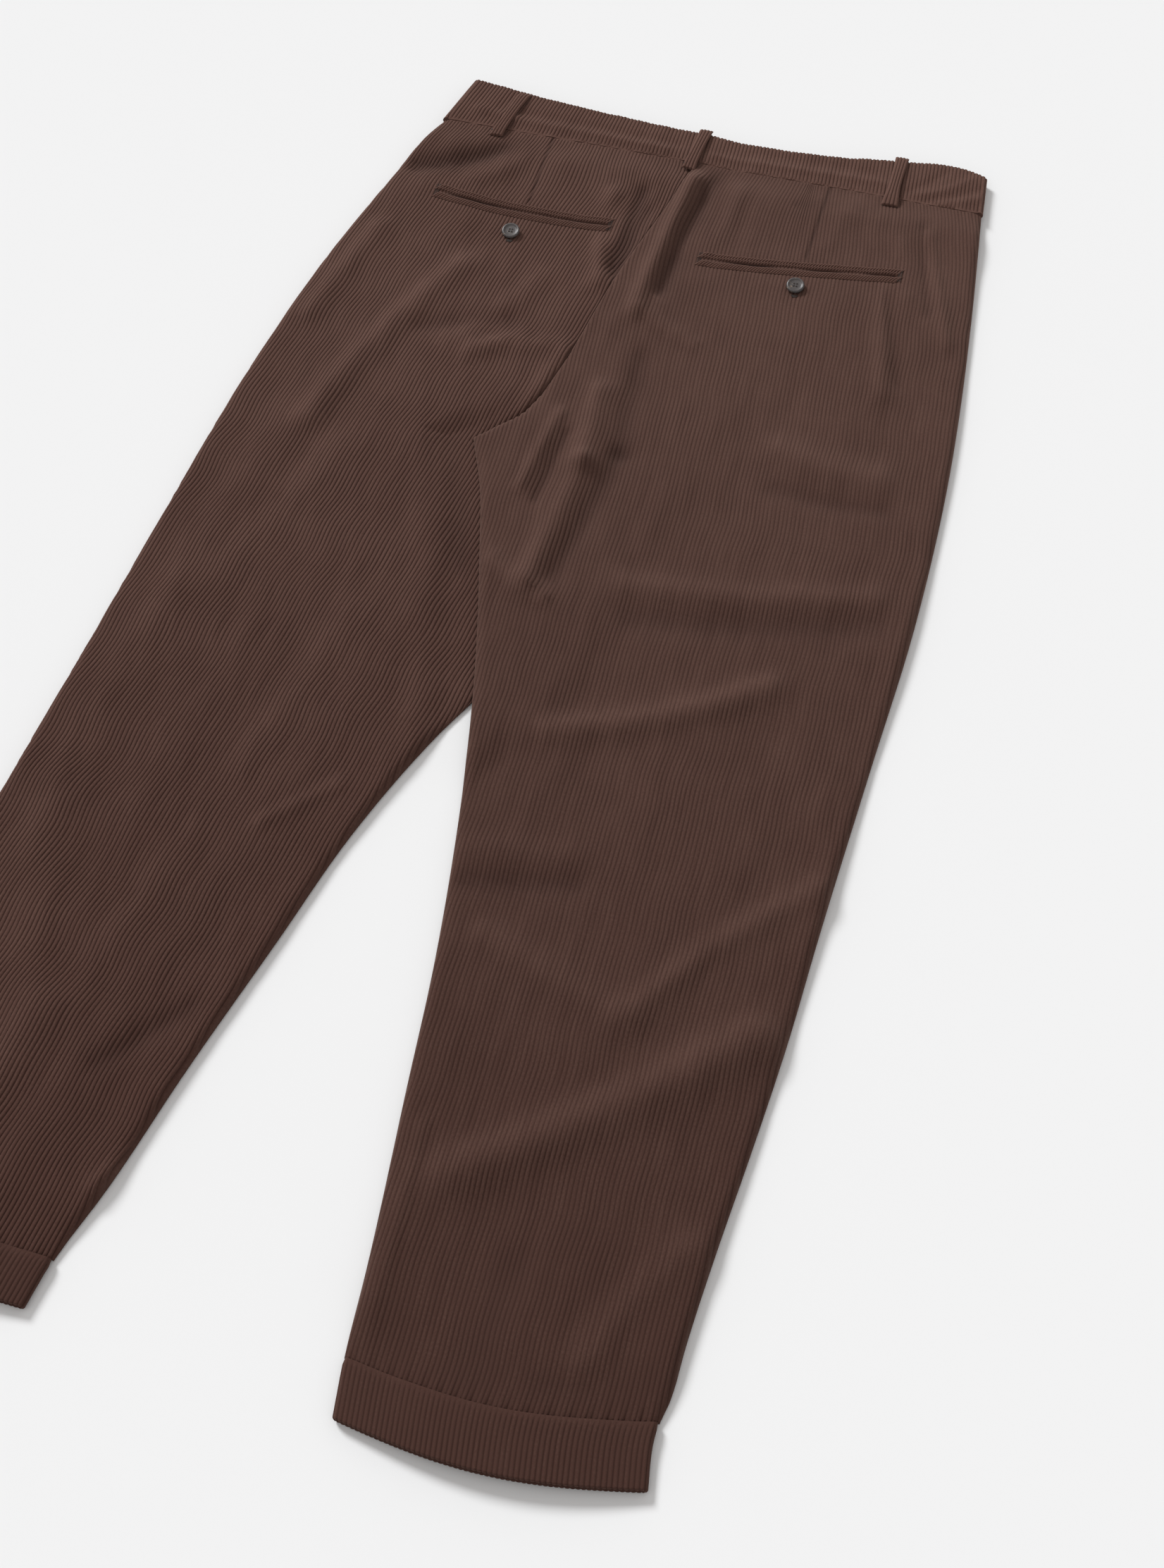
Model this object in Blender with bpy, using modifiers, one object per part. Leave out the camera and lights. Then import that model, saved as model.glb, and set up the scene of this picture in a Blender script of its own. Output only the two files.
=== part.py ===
"""Corduroy trousers laid flat on a surface with the back side up.

The front panels lie on the surface, the back panels lie on them, and the right leg's inner strip
lies on the left leg's. Sizes are millimetres in the pattern's frame: X runs along the waist
towards the right side, Y runs from the hems towards the waist with 0 at the waist's highest
point, and Z runs up from the surface. ORIGIN moves that frame to the middle of the base.
"""

import math

import bmesh
import bpy
import numpy as np

MM = 0.001
ORIGIN = (-58.04, -559.93)

# Cloth and its layers
CLOTH = 1.5
DOUBLE_CLOTH = 2.6
GAP = 0.3
PUFF = 2.1
PUFF_WAVE = 0.6
WAVE_LENGTHS = (61.0, 95.0, 43.0, 150.0)
EDGE_ROUND = 7.0
RIM_CLEARANCE = 0.7

# Heights along the garment
WAIST_SEAM = -60.0
CROTCH = -385.0
FOLD_START = -300.0  # the inner edge turns from a flat seam here into a fold at the crotch

# Outlines, as (y, x) points on smooth curves
SIDE_RIGHT = ((-60, 220), (-156, 229), (-369, 240), (-479, 238), (-596, 230), (-734, 221),
              (-809, 217), (-890, 210), (-950, 204), (-1013, 199), (-1045, 197.5), (-1060, 194.5),
              (-1106, 198.5))
SIDE_LEFT = ((-60, -225), (-89, -236), (-145, -251), (-251, -275), (-332, -288), (-534, -308),
             (-699, -322), (-880, -339), (-1062, -356))
SEAT_SEAM = ((-60, -12), (-114, -24), (-182, -41), (-266, -56), (-304, -63), (-337, -72),
             (-355, -80), (-369, -92), (-385, -107))
FRONT_SEAM = ((-60, 2), (-150, -2), (-250, -12), (-310, -30), (-340, -46), (-360, -66), (-385, -107))
INSEAM_RIGHT = ((-385, -107), (-425, -91), (-485, -74), (-607, -44), (-725, -23), (-815, -11),
                (-891, -4), (-1015, 7.5), (-1067, 11), (-1104, 15.5))
INSEAM_LEFT = ((-385, -107), (-392, -88), (-405, -66), (-430, -38), (-480, -16), (-540, -18),
               (-590, -35), (-644, -60), (-730, -91), (-820, -113.5), (-919, -138.5), (-1007, -158.5),
               (-1054, -172), (-1088, -177.5))

# The right leg lies on the left leg up to this line, and comes down to the surface beyond it
LIFT_LINE = ((-300, -10), (-430, -8), (-480, 12), (-540, 12), (-590, 4), (-640, -26), (-700, -70))
LIFT = 2 * (CLOTH + GAP) + 0.3
LIFT_SLOPE = 32.0
LIFT_FADE = (-384.0, -325.0)
PRESS_FROM = 42.0
PRESS_TO = 15.0
PARTING = (-700.0, -618.0)

# The largest folds: x and y of both ends, the fold's half width and its height
FOLDS = ((-12, -70, -40, -215, 15.0, 1.1), (18, -75, 0, -200, 14.0, -0.9),
         (-62, -95, -66, -200, 14.0, -0.9), (-188, -78, -232, -150, 14.0, 0.9),
         (-70, -492, -14, -520, 16.0, 0.7))

# Rows and columns of the panels
ROWS_ABOVE = 12
ROWS_BELOW = 17
ROW_CROWDING = 1.55
ROUND_STEPS = 3
BACK_SPACING = (0.0, 0.07, 0.14, 0.21, 0.30, 0.41, 0.54, 0.69, 0.85, 1.0)
FRONT_COLUMNS = 9

# Hems: (y at the inseam, y at the side) of the stitched line and of the folded end
HEM_RIGHT_TOP = (-1067, -1058.5)
HEM_RIGHT_END = (-1102.5, -1097.5)
HEM_LEFT_TOP = (-1054, -1029)
HEM_LEFT_END = (-1086, -1062)
HEM_BULGE = {"right": 12.0, "left": 7.0}
HEM_BULGE_START = -760.0
HEM_LIFT = 4.0
HEM_LIFT_LENGTH = 90.0
HEM_GAP = 2.9
HEM_GAP_AT_EDGES = 0.6
HEM_COLUMNS = 8
HEM_TURN = 4
HEM_ROWS = 2

# Waist
BAND_TOP = ((-213, -8), (-205, -9), (-160, -15), (-105, -21), (-20, -26), (45, -28), (97, -25),
            (148, -17), (200, -13), (217, -18))
BAND_END_LEFT = (-226, -213)
BAND_END_RIGHT = (221, 218)
BAND_GAP = 0.6
BAND_FRONT_Z = 3.65
BAND_FLOOR = 2.8
BAND_FLOOR_FADE = (-130.0, -80.0)
BAND_LEVEL_AT = 4.0  # how far below its seam the waistband takes its height from
BAND_END_INSET = 24.0
BAND_END_FADE = 26.0
CLOSURE = 18.0
BAND_COLUMNS = 10
BAND_TURN = 5
BAND_ROWS = 3

# Belt loops: (x at the top, x at the bottom, how far the top stands above the waistband)
LOOP_WIDTH = 11.0
LOOP_THICK = 2.0
LOOP_BOTTOM = -71.0
LOOP_DROP = 0.9
LOOP_ROWS = 8
LOOPS_BACK = {"left": (-167, -178, -2.5), "centre": (-12, -17, 2.5), "right": (148, 147, 2.0)}
LOOPS_FRONT = {"left": (-118, -120, 2.0), "right": (118, 120, 2.0)}

# Back pockets: slot ends and the middle's sag, as x, y, x, y, sag
WELT = 7.6
WELT_THICK = 1.0
WELT_COLUMNS = 10
POCKETS = {"left": (-206, -143, -63, -146.5, 4.0), "right": (14, -165, 169, -145.5, 1.3)}

# Buttons
BUTTON_POCKET = {"left": (-136.5, -174.5), "right": (92.5, -177)}
BUTTON_RADIUS = 7.1
BUTTON_THICK = 2.6
BUTTON_GAP = 0.5
BUTTON_HOLE = 0.75
BUTTON_HOLE_SPREAD = 1.5
BUTTON_SIDES = 24
BUTTON_PROFILE = ((0.0, 0.62), (0.52, 0.62), (0.66, 0.92), (0.80, 1.0), (0.94, 0.86), (1.0, 0.55),
                  (0.90, 0.12), (0.72, 0.0), (0.0, 0.0))
CUTTER_SIDES = 8
CUTTER_LENGTH = 20.0
WAIST_BUTTON = (2, -38)
WAIST_BUTTON_THICK = 1.9

# Fly
FLY_WIDTH = 38.0
FLY_END = -236.0
FLY_CURVE = 46.0
FLY_THICK = 1.2
FLY_LIFT = 1.55
FLY_SIDE_FADE = (46.0, 30.0)
FLY_END_FADE = (34.0, 8.0)
FLY_PAST_SEAM = 3.0
FLY_LEAST_WIDTH = 4.0
FLY_ROWS = 9

CORDUROY = (0.078, 0.043, 0.032)
CORDUROY_HEM = (0.072, 0.040, 0.030)
HORN = (0.050, 0.032, 0.026)
CLOTH_ROUGHNESS = 0.95
HORN_ROUGHNESS = 0.4

ABOVE_ALL = 100.0  # a height above every piece, to look down from


def along(points, place):
    """The value at a place on the smooth curve through (place, value) points."""
    places, values = np.array(sorted(points), float).T
    slopes = np.gradient(values, places)
    i = int(np.clip(np.searchsorted(places, place) - 1, 0, len(places) - 2))
    step = places[i + 1] - places[i]
    f = min(max((place - places[i]) / step, 0.0), 1.0)
    start = values[i] * (1 + 2 * f) * (1 - f) ** 2 + slopes[i] * step * f * (1 - f) ** 2
    end = values[i + 1] * (3 - 2 * f) * f**2 + slopes[i + 1] * step * f**2 * (f - 1)
    return start + end


def fade(value, start, end):
    """0 at start and 1 at end, with soft ends."""
    f = min(max((value - start) / (end - start), 0.0), 1.0)
    return f * f * (3 - 2 * f)


def blend(a, b, f):
    return a + (b - a) * f


def seat_x(y):
    """The back panels' meeting line, from the waist down to the crotch."""
    return along(SEAT_SEAM, y)


def inner_x(y, side, seam):
    """A leg's inner edge: a centre seam down to the crotch, and the inseam below it."""
    if y >= CROTCH:
        return along(seam, y)
    return along(INSEAM_RIGHT if side == "right" else INSEAM_LEFT, y)


def side_x(y, side):
    return along(SIDE_RIGHT if side == "right" else SIDE_LEFT, y)


def hem_line(side, s, end=False):
    """The y of a hem's stitched line, or of its folded end, at a share s across the leg."""
    if side == "right":
        inner, outer = HEM_RIGHT_END if end else HEM_RIGHT_TOP
    else:
        inner, outer = HEM_LEFT_END if end else HEM_LEFT_TOP
    return blend(inner, outer, s) - HEM_BULGE[side] * math.sin(math.pi * s)


def over_left(x, y):
    """How far the right leg is on top of the left one here, from 0 to 1."""
    beyond = fade(x - along(LIFT_LINE, y), LIFT_SLOPE, 0.0)
    return beyond * fade(y, LIFT_FADE[1], LIFT_FADE[0])


def pressed(x, y):
    """How far the left leg is pressed flat by the right one here, from 0 to 1."""
    edge = seat_x(y) if y >= CROTCH else along(INSEAM_RIGHT, y)
    under = fade(x, edge - PRESS_FROM, edge - PRESS_TO)
    return under * fade(y, LIFT_FADE[1], LIFT_FADE[0]) * fade(y, *PARTING)


def floor_height(x, y, side, s):
    """The underside of a front panel above the surface."""
    waist = BAND_FLOOR * fade(y, *BAND_FLOOR_FADE)
    below_fly, fly_end = (FLY_END - gap for gap in FLY_END_FADE)
    fly = FLY_LIFT * fade(abs(x + FLY_WIDTH / 2), *FLY_SIDE_FADE) * fade(y, below_fly, fly_end)
    reach = hem_line(side, s) + HEM_LIFT_LENGTH - y
    hem = HEM_LIFT * math.sin(math.pi * s) * max(reach / HEM_LIFT_LENGTH, 0.0) ** 2
    lift = LIFT * over_left(x, y) if side == "right" else 0.0
    return max(waist, fly) + hem + lift


def fold_height(x, y):
    """How far the folds raise or lower the back here."""
    total = 0.0
    for x0, y0, x1, y1, width, height in FOLDS:
        length = math.hypot(x1 - x0, y1 - y0)
        ahead = ((x - x0) * (x1 - x0) + (y - y0) * (y1 - y0)) / length
        aside = ((x - x0) * (y1 - y0) - (y - y0) * (x1 - x0)) / length
        past = max(-ahead, ahead - length, 0.0)
        total += height * math.exp(-(aside**2 + past**2) / width**2)
    return total


def puff_height(x, y, side):
    """The open height between the front and back panels."""
    first_y, first_x, second_x, second_y = WAVE_LENGTHS
    wave = math.sin(y / first_y + x / first_x) * math.sin(x / second_x - y / second_y)
    puff = PUFF + PUFF_WAVE * wave + fold_height(x, y)
    return puff * (1 - pressed(x, y)) if side == "left" else puff


def back_height(x, y, side, s):
    """The middle of a back panel's cloth above the surface, away from its rounded edges."""
    return floor_height(x, y, side, s) + CLOTH + GAP + CLOTH / 2 + puff_height(x, y, side)


def band_height(x):
    """The middle of the waistband's cloth on the back."""
    side = "right" if x > seat_x(WAIST_SEAM) else "left"
    return back_height(x, WAIST_SEAM - BAND_LEVEL_AT, side, 0.5) + BAND_GAP


def row_places(bottom):
    """The rows' places down the inner edge, crowded round the crotch."""
    above = [CROTCH + (WAIST_SEAM - CROTCH) * (k / ROWS_ABOVE) ** ROW_CROWDING
             for k in range(ROWS_ABOVE, 0, -1)]
    below = [CROTCH + (bottom - CROTCH) * (k / ROWS_BELOW) ** ROW_CROWDING
             for k in range(ROWS_BELOW + 1)]
    return above + below


def panel_bottom(side):
    """Where a leg's panels end, as y at the inseam and at the side."""
    return tuple(line + GAP for line in (HEM_RIGHT_TOP if side == "right" else HEM_LEFT_TOP))


def panel_row(y, side, seam, top, bottom):
    """The inner and outer ends of a row that meets the inner edge at y."""
    inner_bottom, outer_bottom = bottom
    outer_y = top + (y - top) * (outer_bottom - top) / (inner_bottom - top)
    inward = 1 if side == "right" else -1
    inner = (inner_x(y, side, seam) + inward * GAP / 2, y)
    return inner, (side_x(outer_y, side), outer_y)


def on_row(ends, s, bulge):
    """A point of a row at a share s from the inner to the outer edge."""
    (x0, y0), (x1, y1) = ends
    return blend(x0, x1, s), blend(y0, y1, s) - bulge * math.sin(math.pi * s)


def rounded_spacing(width, spacing):
    """Shares across a row, with quarter-round steps at both edges, and each step's drop."""
    start = CLOTH / 2
    turns = [math.pi / 2 * k / ROUND_STEPS for k in range(ROUND_STEPS)]
    near = [(start + EDGE_ROUND * (1 - math.cos(a))) / width for a in turns]
    drops = [1 - math.sin(a) for a in turns]
    flat = (start + EDGE_ROUND) / width
    middle = [blend(flat, 1 - flat, f) for f in spacing]
    shares = near + middle + [1 - n for n in reversed(near)]
    falls = drops + [0.0] * len(middle) + list(reversed(drops))
    return shares, falls


def hem_bulge(y, bottom, side):
    """How far a row is bowed down at its middle: the last one follows the hem."""
    return HEM_BULGE[side] * fade(y, HEM_BULGE_START, bottom)


def back_point(column, row, side):
    """A point in the middle of a back panel's cloth."""
    bottom = panel_bottom(side)
    y = row_places(bottom[0])[row]
    ends = panel_row(y, side, SEAT_SEAM, WAIST_SEAM - GAP, bottom)
    width = math.dist(*ends)
    shares, falls = rounded_spacing(width, BACK_SPACING)
    s = shares[column]
    x, at_y = on_row(ends, s, hem_bulge(y, bottom[0], side))
    top = back_height(x, at_y, side, s)
    rim = floor_height(x, at_y, side, s) + CLOTH + RIM_CLEARANCE
    folded = fade(y, FOLD_START, CROTCH) if column < ROUND_STEPS else 1.0
    open_share = min(puff_height(x, at_y, side) / PUFF, 1.0)
    return x, at_y, top - (top - rim) * falls[column] * folded * open_share


def front_point(column, row, side):
    """A point in the middle of a front panel's cloth."""
    bottom = panel_bottom(side)
    y = row_places(bottom[0])[row]
    ends = panel_row(y, side, FRONT_SEAM, WAIST_SEAM - GAP, bottom)
    s = column / FRONT_COLUMNS
    x, at_y = on_row(ends, s, hem_bulge(y, bottom[0], side))
    return x, at_y, floor_height(x, at_y, side, s) + CLOTH / 2


def hem_point(column, row, side):
    """A point in the middle of a hem's double cloth, round the flattened leg end."""
    flats = [k / HEM_COLUMNS for k in range(HEM_COLUMNS + 1)]
    radius = (DOUBLE_CLOTH + HEM_GAP * HEM_GAP_AT_EDGES) / 2
    top_y, end_y = hem_line(side, 0.0), hem_line(side, 0.0, True)
    y0 = blend(top_y - GAP, end_y, row)
    outer_top, outer_end = hem_line(side, 1.0), hem_line(side, 1.0, True)
    y1 = blend(outer_top - GAP, outer_end, row)
    ends = ((inner_x(y0, side, SEAT_SEAM), y0), (side_x(y1, side), y1))
    width = math.dist(*ends)
    edge = (DOUBLE_CLOTH / 2 + radius) / width
    stops = []
    for f in reversed(flats):
        stops.append((blend(edge, 1 - edge, f), 0.0))
    for k in range(1, HEM_TURN):
        a = math.pi * k / HEM_TURN
        stops.append((edge - radius / width * math.sin(a), (1 - math.cos(a)) / 2))
    for f in flats:
        stops.append((blend(edge, 1 - edge, f), 1.0))
    for k in range(1, HEM_TURN + 1):
        a = math.pi * k / HEM_TURN
        stops.append((1 - edge + radius / width * math.sin(a), (1 + math.cos(a)) / 2))
    s, high = stops[column]
    x, y = on_row(ends, s, HEM_BULGE[side])
    lift = HEM_LIFT * math.sin(math.pi * s)
    open_height = HEM_GAP * blend(HEM_GAP_AT_EDGES, 1.0, math.sin(math.pi * s))
    return x, y, DOUBLE_CLOTH / 2 + lift + high * (DOUBLE_CLOTH + open_height)


def band_point(column, row, side):
    """A point in the middle of the waistband, from the closure round the side to the centre back."""
    sign = 1 if side == "right" else -1
    ends = BAND_END_RIGHT if side == "right" else BAND_END_LEFT
    end = blend(ends[0], ends[1], row) - sign * DOUBLE_CLOTH / 2
    back_start = seat_x(WAIST_SEAM) + sign * GAP / 2
    front_start = CLOSURE + sign * GAP / 2
    back_z = band_height(end - sign * BAND_END_INSET)
    radius = (back_z - BAND_FRONT_Z) / 2
    flat_end = end - sign * radius
    if column <= BAND_COLUMNS:
        x = blend(front_start, flat_end, column / BAND_COLUMNS)
        z = BAND_FRONT_Z
    elif column < BAND_COLUMNS + BAND_TURN:
        a = math.pi * (column - BAND_COLUMNS) / BAND_TURN
        x = flat_end + sign * radius * math.sin(a)
        z = BAND_FRONT_Z + radius * (1 - math.cos(a))
    else:
        f = (column - BAND_COLUMNS - BAND_TURN) / BAND_COLUMNS
        x = blend(flat_end, back_start, f)
        z = blend(back_z, band_height(x), fade(abs(x - flat_end), 0.0, BAND_END_FADE))
    return x, blend(WAIST_SEAM + 2 * GAP, along(BAND_TOP, x), row), z


def loop_point(column, row, ends):
    """A point in the middle of a back belt loop, which lies on the waistband."""
    x = blend(ends[1], ends[0], row) + LOOP_WIDTH * (column - 0.5)
    top = along(BAND_TOP, ends[0]) + ends[2]
    y = blend(LOOP_BOTTOM, top, row)
    level = band_height(ends[0]) + DOUBLE_CLOTH / 2 + GAP + LOOP_THICK / 2
    return x, y, level - LOOP_DROP * fade(y, WAIST_SEAM - GAP, LOOP_BOTTOM)


def front_loop_point(column, row, ends):
    """A point in the middle of a front belt loop, under the waistband."""
    x = blend(ends[1], ends[0], row) + LOOP_WIDTH * (column - 0.5)
    top = along(BAND_TOP, ends[0]) + ends[2]
    return x, blend(LOOP_BOTTOM, top, row), LOOP_THICK / 2


def top_of(panel, x, y):
    """The height of a finished panel's top at a place."""
    start_x, start_y, start_z = place_on_base((x, y, ABOVE_ALL))
    graph = bpy.context.evaluated_depsgraph_get()
    hit, where, _, _ = panel.evaluated_get(graph).ray_cast((start_x, start_y, start_z), (0, 0, -1))
    return where.z / MM if hit else 0.0


def welt_point(column, row, side, upper, panel):
    """A point in the middle of a pocket welt, which lies on its back panel."""
    x0, y0, x1, y1, sag = POCKETS[side]
    f = column / WELT_COLUMNS
    x = blend(x0, x1, f)
    slot = blend(y0, y1, f) - sag * 4 * f * (1 - f)
    near, far = (GAP / 2, WELT) if upper else (-WELT, -GAP / 2)
    y = slot + blend(near, far, row)
    return x, y, top_of(panel, x, y) + GAP + WELT_THICK / 2


def fly_point(column, row):
    """A point in the middle of the fly's flap, which lies under the front panels."""
    y = blend(FLY_END, WAIST_SEAM - GAP, row)
    into = max(FLY_END + FLY_CURVE - y, 0.0) / FLY_CURVE
    width = max(FLY_WIDTH * math.sqrt(max(1 - into**2, 0.0)), FLY_LEAST_WIDTH)
    edge = along(FRONT_SEAM, y) + FLY_PAST_SEAM
    return edge - width * (1 - column), y, FLY_THICK / 2


def finish(name, colour, roughness):
    """A plain material for one finish of the garment."""
    material = bpy.data.materials.get(name) or bpy.data.materials.new(name)
    material.use_nodes = True
    shader = material.node_tree.nodes["Principled BSDF"]
    shader.inputs["Base Color"].default_value = (*colour, 1.0)
    shader.inputs["Roughness"].default_value = roughness
    return material


def place_on_base(point):
    x, y, z = point
    return ((x - ORIGIN[0]) * MM, (y - ORIGIN[1]) * MM, z * MM)


def new_piece(name, mesh, material, collection):
    piece = bpy.data.objects.new(name, mesh)
    mesh.materials.append(material)
    collection.objects.link(piece)
    return piece


def cloth_piece(name, columns, rows, point, thickness, material, collection, closed=False):
    """A grid of cloth whose points are moved to point(column, row), with a Solidify wall."""
    shape = bmesh.new()
    bmesh.ops.create_grid(shape, x_segments=columns, y_segments=rows, size=0.5)
    for vertex in shape.verts:
        column = round((vertex.co.x + 0.5) * columns)
        row = round((vertex.co.y + 0.5) * rows)
        vertex.co = place_on_base(point(column, row))
    if closed:
        bmesh.ops.remove_doubles(shape, verts=shape.verts, dist=1e-6)
    bmesh.ops.recalc_face_normals(shape, faces=shape.faces)
    mesh = bpy.data.meshes.new(name)
    shape.to_mesh(mesh)
    shape.free()
    mesh.shade_smooth()
    piece = new_piece(name, mesh, material, collection)
    wall = piece.modifiers.new("wall", "SOLIDIFY")
    wall.thickness = thickness * MM
    wall.offset = 0.0
    wall.use_even_offset = True
    return piece


def panels(collection, material):
    last_row = ROWS_ABOVE + ROWS_BELOW
    back_columns = len(BACK_SPACING) + 2 * ROUND_STEPS - 1
    for side in ("left", "right"):
        cloth_piece(f"back_{side}", back_columns, last_row,
                    lambda c, r: back_point(c, r, side), CLOTH, material, collection)
        cloth_piece(f"front_{side}", FRONT_COLUMNS, last_row,
                    lambda c, r: front_point(c, r, side), CLOTH, material, collection)


def hems(collection, material):
    columns = 2 * (HEM_COLUMNS + HEM_TURN) + 1
    for side in ("left", "right"):
        cloth_piece(f"hem_{side}", columns, HEM_ROWS,
                    lambda c, r: hem_point(c % columns, r / HEM_ROWS, side),
                    DOUBLE_CLOTH, material, collection, closed=True)


def waistband(collection, material):
    columns = 2 * BAND_COLUMNS + BAND_TURN
    for side in ("left", "right"):
        cloth_piece(f"waistband_{side}", columns, BAND_ROWS,
                    lambda c, r: band_point(c, r / BAND_ROWS, side),
                    DOUBLE_CLOTH, material, collection)


def belt_loops(collection, material):
    for name, ends in LOOPS_BACK.items():
        cloth_piece(f"belt_loop_back_{name}", 1, LOOP_ROWS,
                    lambda c, r: loop_point(c, r / LOOP_ROWS, ends),
                    LOOP_THICK, material, collection)
    for name, ends in LOOPS_FRONT.items():
        cloth_piece(f"belt_loop_front_{name}", 1, LOOP_ROWS,
                    lambda c, r: front_loop_point(c, r / LOOP_ROWS, ends),
                    LOOP_THICK, material, collection)


def pocket_welts(collection, material):
    for side in POCKETS:
        panel = collection.objects[f"back_{side}"]
        for name, upper in (("upper", True), ("lower", False)):
            cloth_piece(f"welt_{name}_{side}", WELT_COLUMNS, 1,
                        lambda c, r: welt_point(c, r, side, upper, panel),
                        WELT_THICK, material, collection)


def fly(collection, material):
    cloth_piece("fly_flap", 2, FLY_ROWS, lambda c, r: fly_point(c / 2, r / FLY_ROWS),
                FLY_THICK, material, collection)


def button_cutter(angle, collection):
    """A cutter for one thread hole of a button."""
    radius, spread = BUTTON_HOLE * MM, BUTTON_HOLE_SPREAD * MM
    shape = bmesh.new()
    bmesh.ops.create_cone(shape, cap_ends=True, segments=CUTTER_SIDES, radius1=radius, radius2=radius,
                          depth=CUTTER_LENGTH * MM)
    mesh = bpy.data.meshes.new("thread_hole")
    shape.to_mesh(mesh)
    shape.free()
    cutter = bpy.data.objects.new("thread_hole", mesh)
    collection.objects.link(cutter)
    cutter.location = (spread * math.cos(angle), spread * math.sin(angle), 0.0)
    cutter.hide_render = True
    cutter.display_type = "WIRE"
    return cutter


def button(name, at, base, thick, face_down, material, collection, cutters):
    """A turned button with a raised rim, a dished middle and four thread holes."""
    mesh = bpy.data.meshes.new(name)
    mesh.from_pydata([(out * BUTTON_RADIUS * MM, 0.0, up * thick * MM) for out, up in BUTTON_PROFILE],
                     [(i, i + 1) for i in range(len(BUTTON_PROFILE) - 1)], [])
    piece = new_piece(name, mesh, material, collection)
    turned = piece.modifiers.new("turned", "SCREW")
    turned.steps = BUTTON_SIDES
    turned.render_steps = BUTTON_SIDES
    turned.use_merge_vertices = True
    turned.merge_threshold = 0.00001
    turned.use_normal_calculate = True
    for k in range(4):
        cutter = button_cutter(math.pi / 4 + k * math.pi / 2, cutters)
        cutter.parent = piece
        hole = piece.modifiers.new(f"hole_{k}", "BOOLEAN")
        hole.operation = "DIFFERENCE"
        hole.object = cutter
    piece.location = place_on_base((at[0], at[1], base))
    if face_down:
        piece.rotation_euler = (math.pi, 0.0, 0.0)
    return piece


def buttons(collection, cutters, material):
    for side, at in BUTTON_POCKET.items():
        base = top_of(collection.objects[f"back_{side}"], *at) + BUTTON_GAP
        button(f"pocket_button_{side}", at, base, BUTTON_THICK, False, material, collection, cutters)
    button("waist_button", WAIST_BUTTON, WAIST_BUTTON_THICK, WAIST_BUTTON_THICK, True, material,
           collection, cutters)


def main():
    for old in list(bpy.data.objects):
        bpy.data.objects.remove(old, do_unlink=True)
    garment = bpy.data.collections.new("corduroy_trousers")
    bpy.context.scene.collection.children.link(garment)
    cutters = bpy.data.collections.new("cutters")
    bpy.context.scene.collection.children.link(cutters)
    corduroy = finish("corduroy", CORDUROY, CLOTH_ROUGHNESS)
    hem_cloth = finish("corduroy_hem", CORDUROY_HEM, CLOTH_ROUGHNESS)
    horn = finish("horn", HORN, HORN_ROUGHNESS)
    panels(garment, corduroy)
    hems(garment, hem_cloth)
    waistband(garment, corduroy)
    belt_loops(garment, corduroy)
    pocket_welts(garment, corduroy)
    fly(garment, corduroy)
    buttons(garment, cutters, horn)


main()
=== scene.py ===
"""Corduroy trousers laid flat on a pale surface with the back side up.

Every piece of cloth is a closed thin shell: a fine outer face whose columns follow the wales of
the corduroy, a coarse inner face, and the edges between them. A Geometry Nodes tree then carves
the grooves between the wales. Sizes are millimetres in the pattern's frame: X runs along the
waist towards the right side, Y runs from the hems towards the waist with 0 at the waist's
highest point, and Z runs up from the surface.
"""

import math

import bpy
import numpy as np
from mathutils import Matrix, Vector


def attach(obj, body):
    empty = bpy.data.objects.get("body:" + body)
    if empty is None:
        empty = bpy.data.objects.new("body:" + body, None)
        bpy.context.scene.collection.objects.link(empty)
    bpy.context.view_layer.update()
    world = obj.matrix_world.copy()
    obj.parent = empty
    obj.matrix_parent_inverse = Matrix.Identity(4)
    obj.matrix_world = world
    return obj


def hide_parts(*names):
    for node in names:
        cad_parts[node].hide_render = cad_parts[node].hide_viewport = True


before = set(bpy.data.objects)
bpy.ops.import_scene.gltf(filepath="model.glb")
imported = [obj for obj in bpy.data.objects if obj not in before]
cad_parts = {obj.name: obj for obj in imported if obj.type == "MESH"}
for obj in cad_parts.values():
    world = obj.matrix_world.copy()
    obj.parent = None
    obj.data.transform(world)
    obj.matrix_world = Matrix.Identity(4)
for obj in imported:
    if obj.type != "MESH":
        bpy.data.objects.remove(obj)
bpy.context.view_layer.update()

MM = 0.001
ORIGIN = (-58.04, -559.93)

# Cloth and its layers
CLOTH = 1.5
DOUBLE_CLOTH = 2.6
GAP = 0.3
SEAM_GAP = 0.06
PUFF = 2.1
PUFF_WAVE = 0.6
EDGE_ROUND = 7.75
LEAST_PUFF = 0.25
INNER_CLEAR = 0.15
INNER_REACH = 5
SEAM_ROW = 1.5

# The seat: the left panel tucks under the right one's edge down to the crotch
SEAT_END = (-360.0, -300.0)
SEAT_TUCK = (1.3, 9.0)
SEAT_RISE = (0.5, 7.0)
SEAM_TURN = (0.24, 1.6)

# The wales of the corduroy
PITCH = 2.97
GROOVE = {"leg": 0.45, "left_leg": 0.68, "hem": 0.52, "band": 0.72}
GROOVE_POWER = 2.4
FINE_PHASES = (0.0, 0.12, 0.3, 0.5, 0.7, 0.88)
PLAIN_PHASES = (0.0, 0.18, 0.5, 0.82)
WANDER = {"right": 1.5, "left": 3.2}
WALES = {"right": (-112.0, 260.0), "left": (-302.0, 14.0)}

# Heights along the garment
WAIST_SEAM = -60.0
CROTCH = -385.0
BAND_GAP = 0.6
BAND_HEIGHT = 45.0

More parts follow.
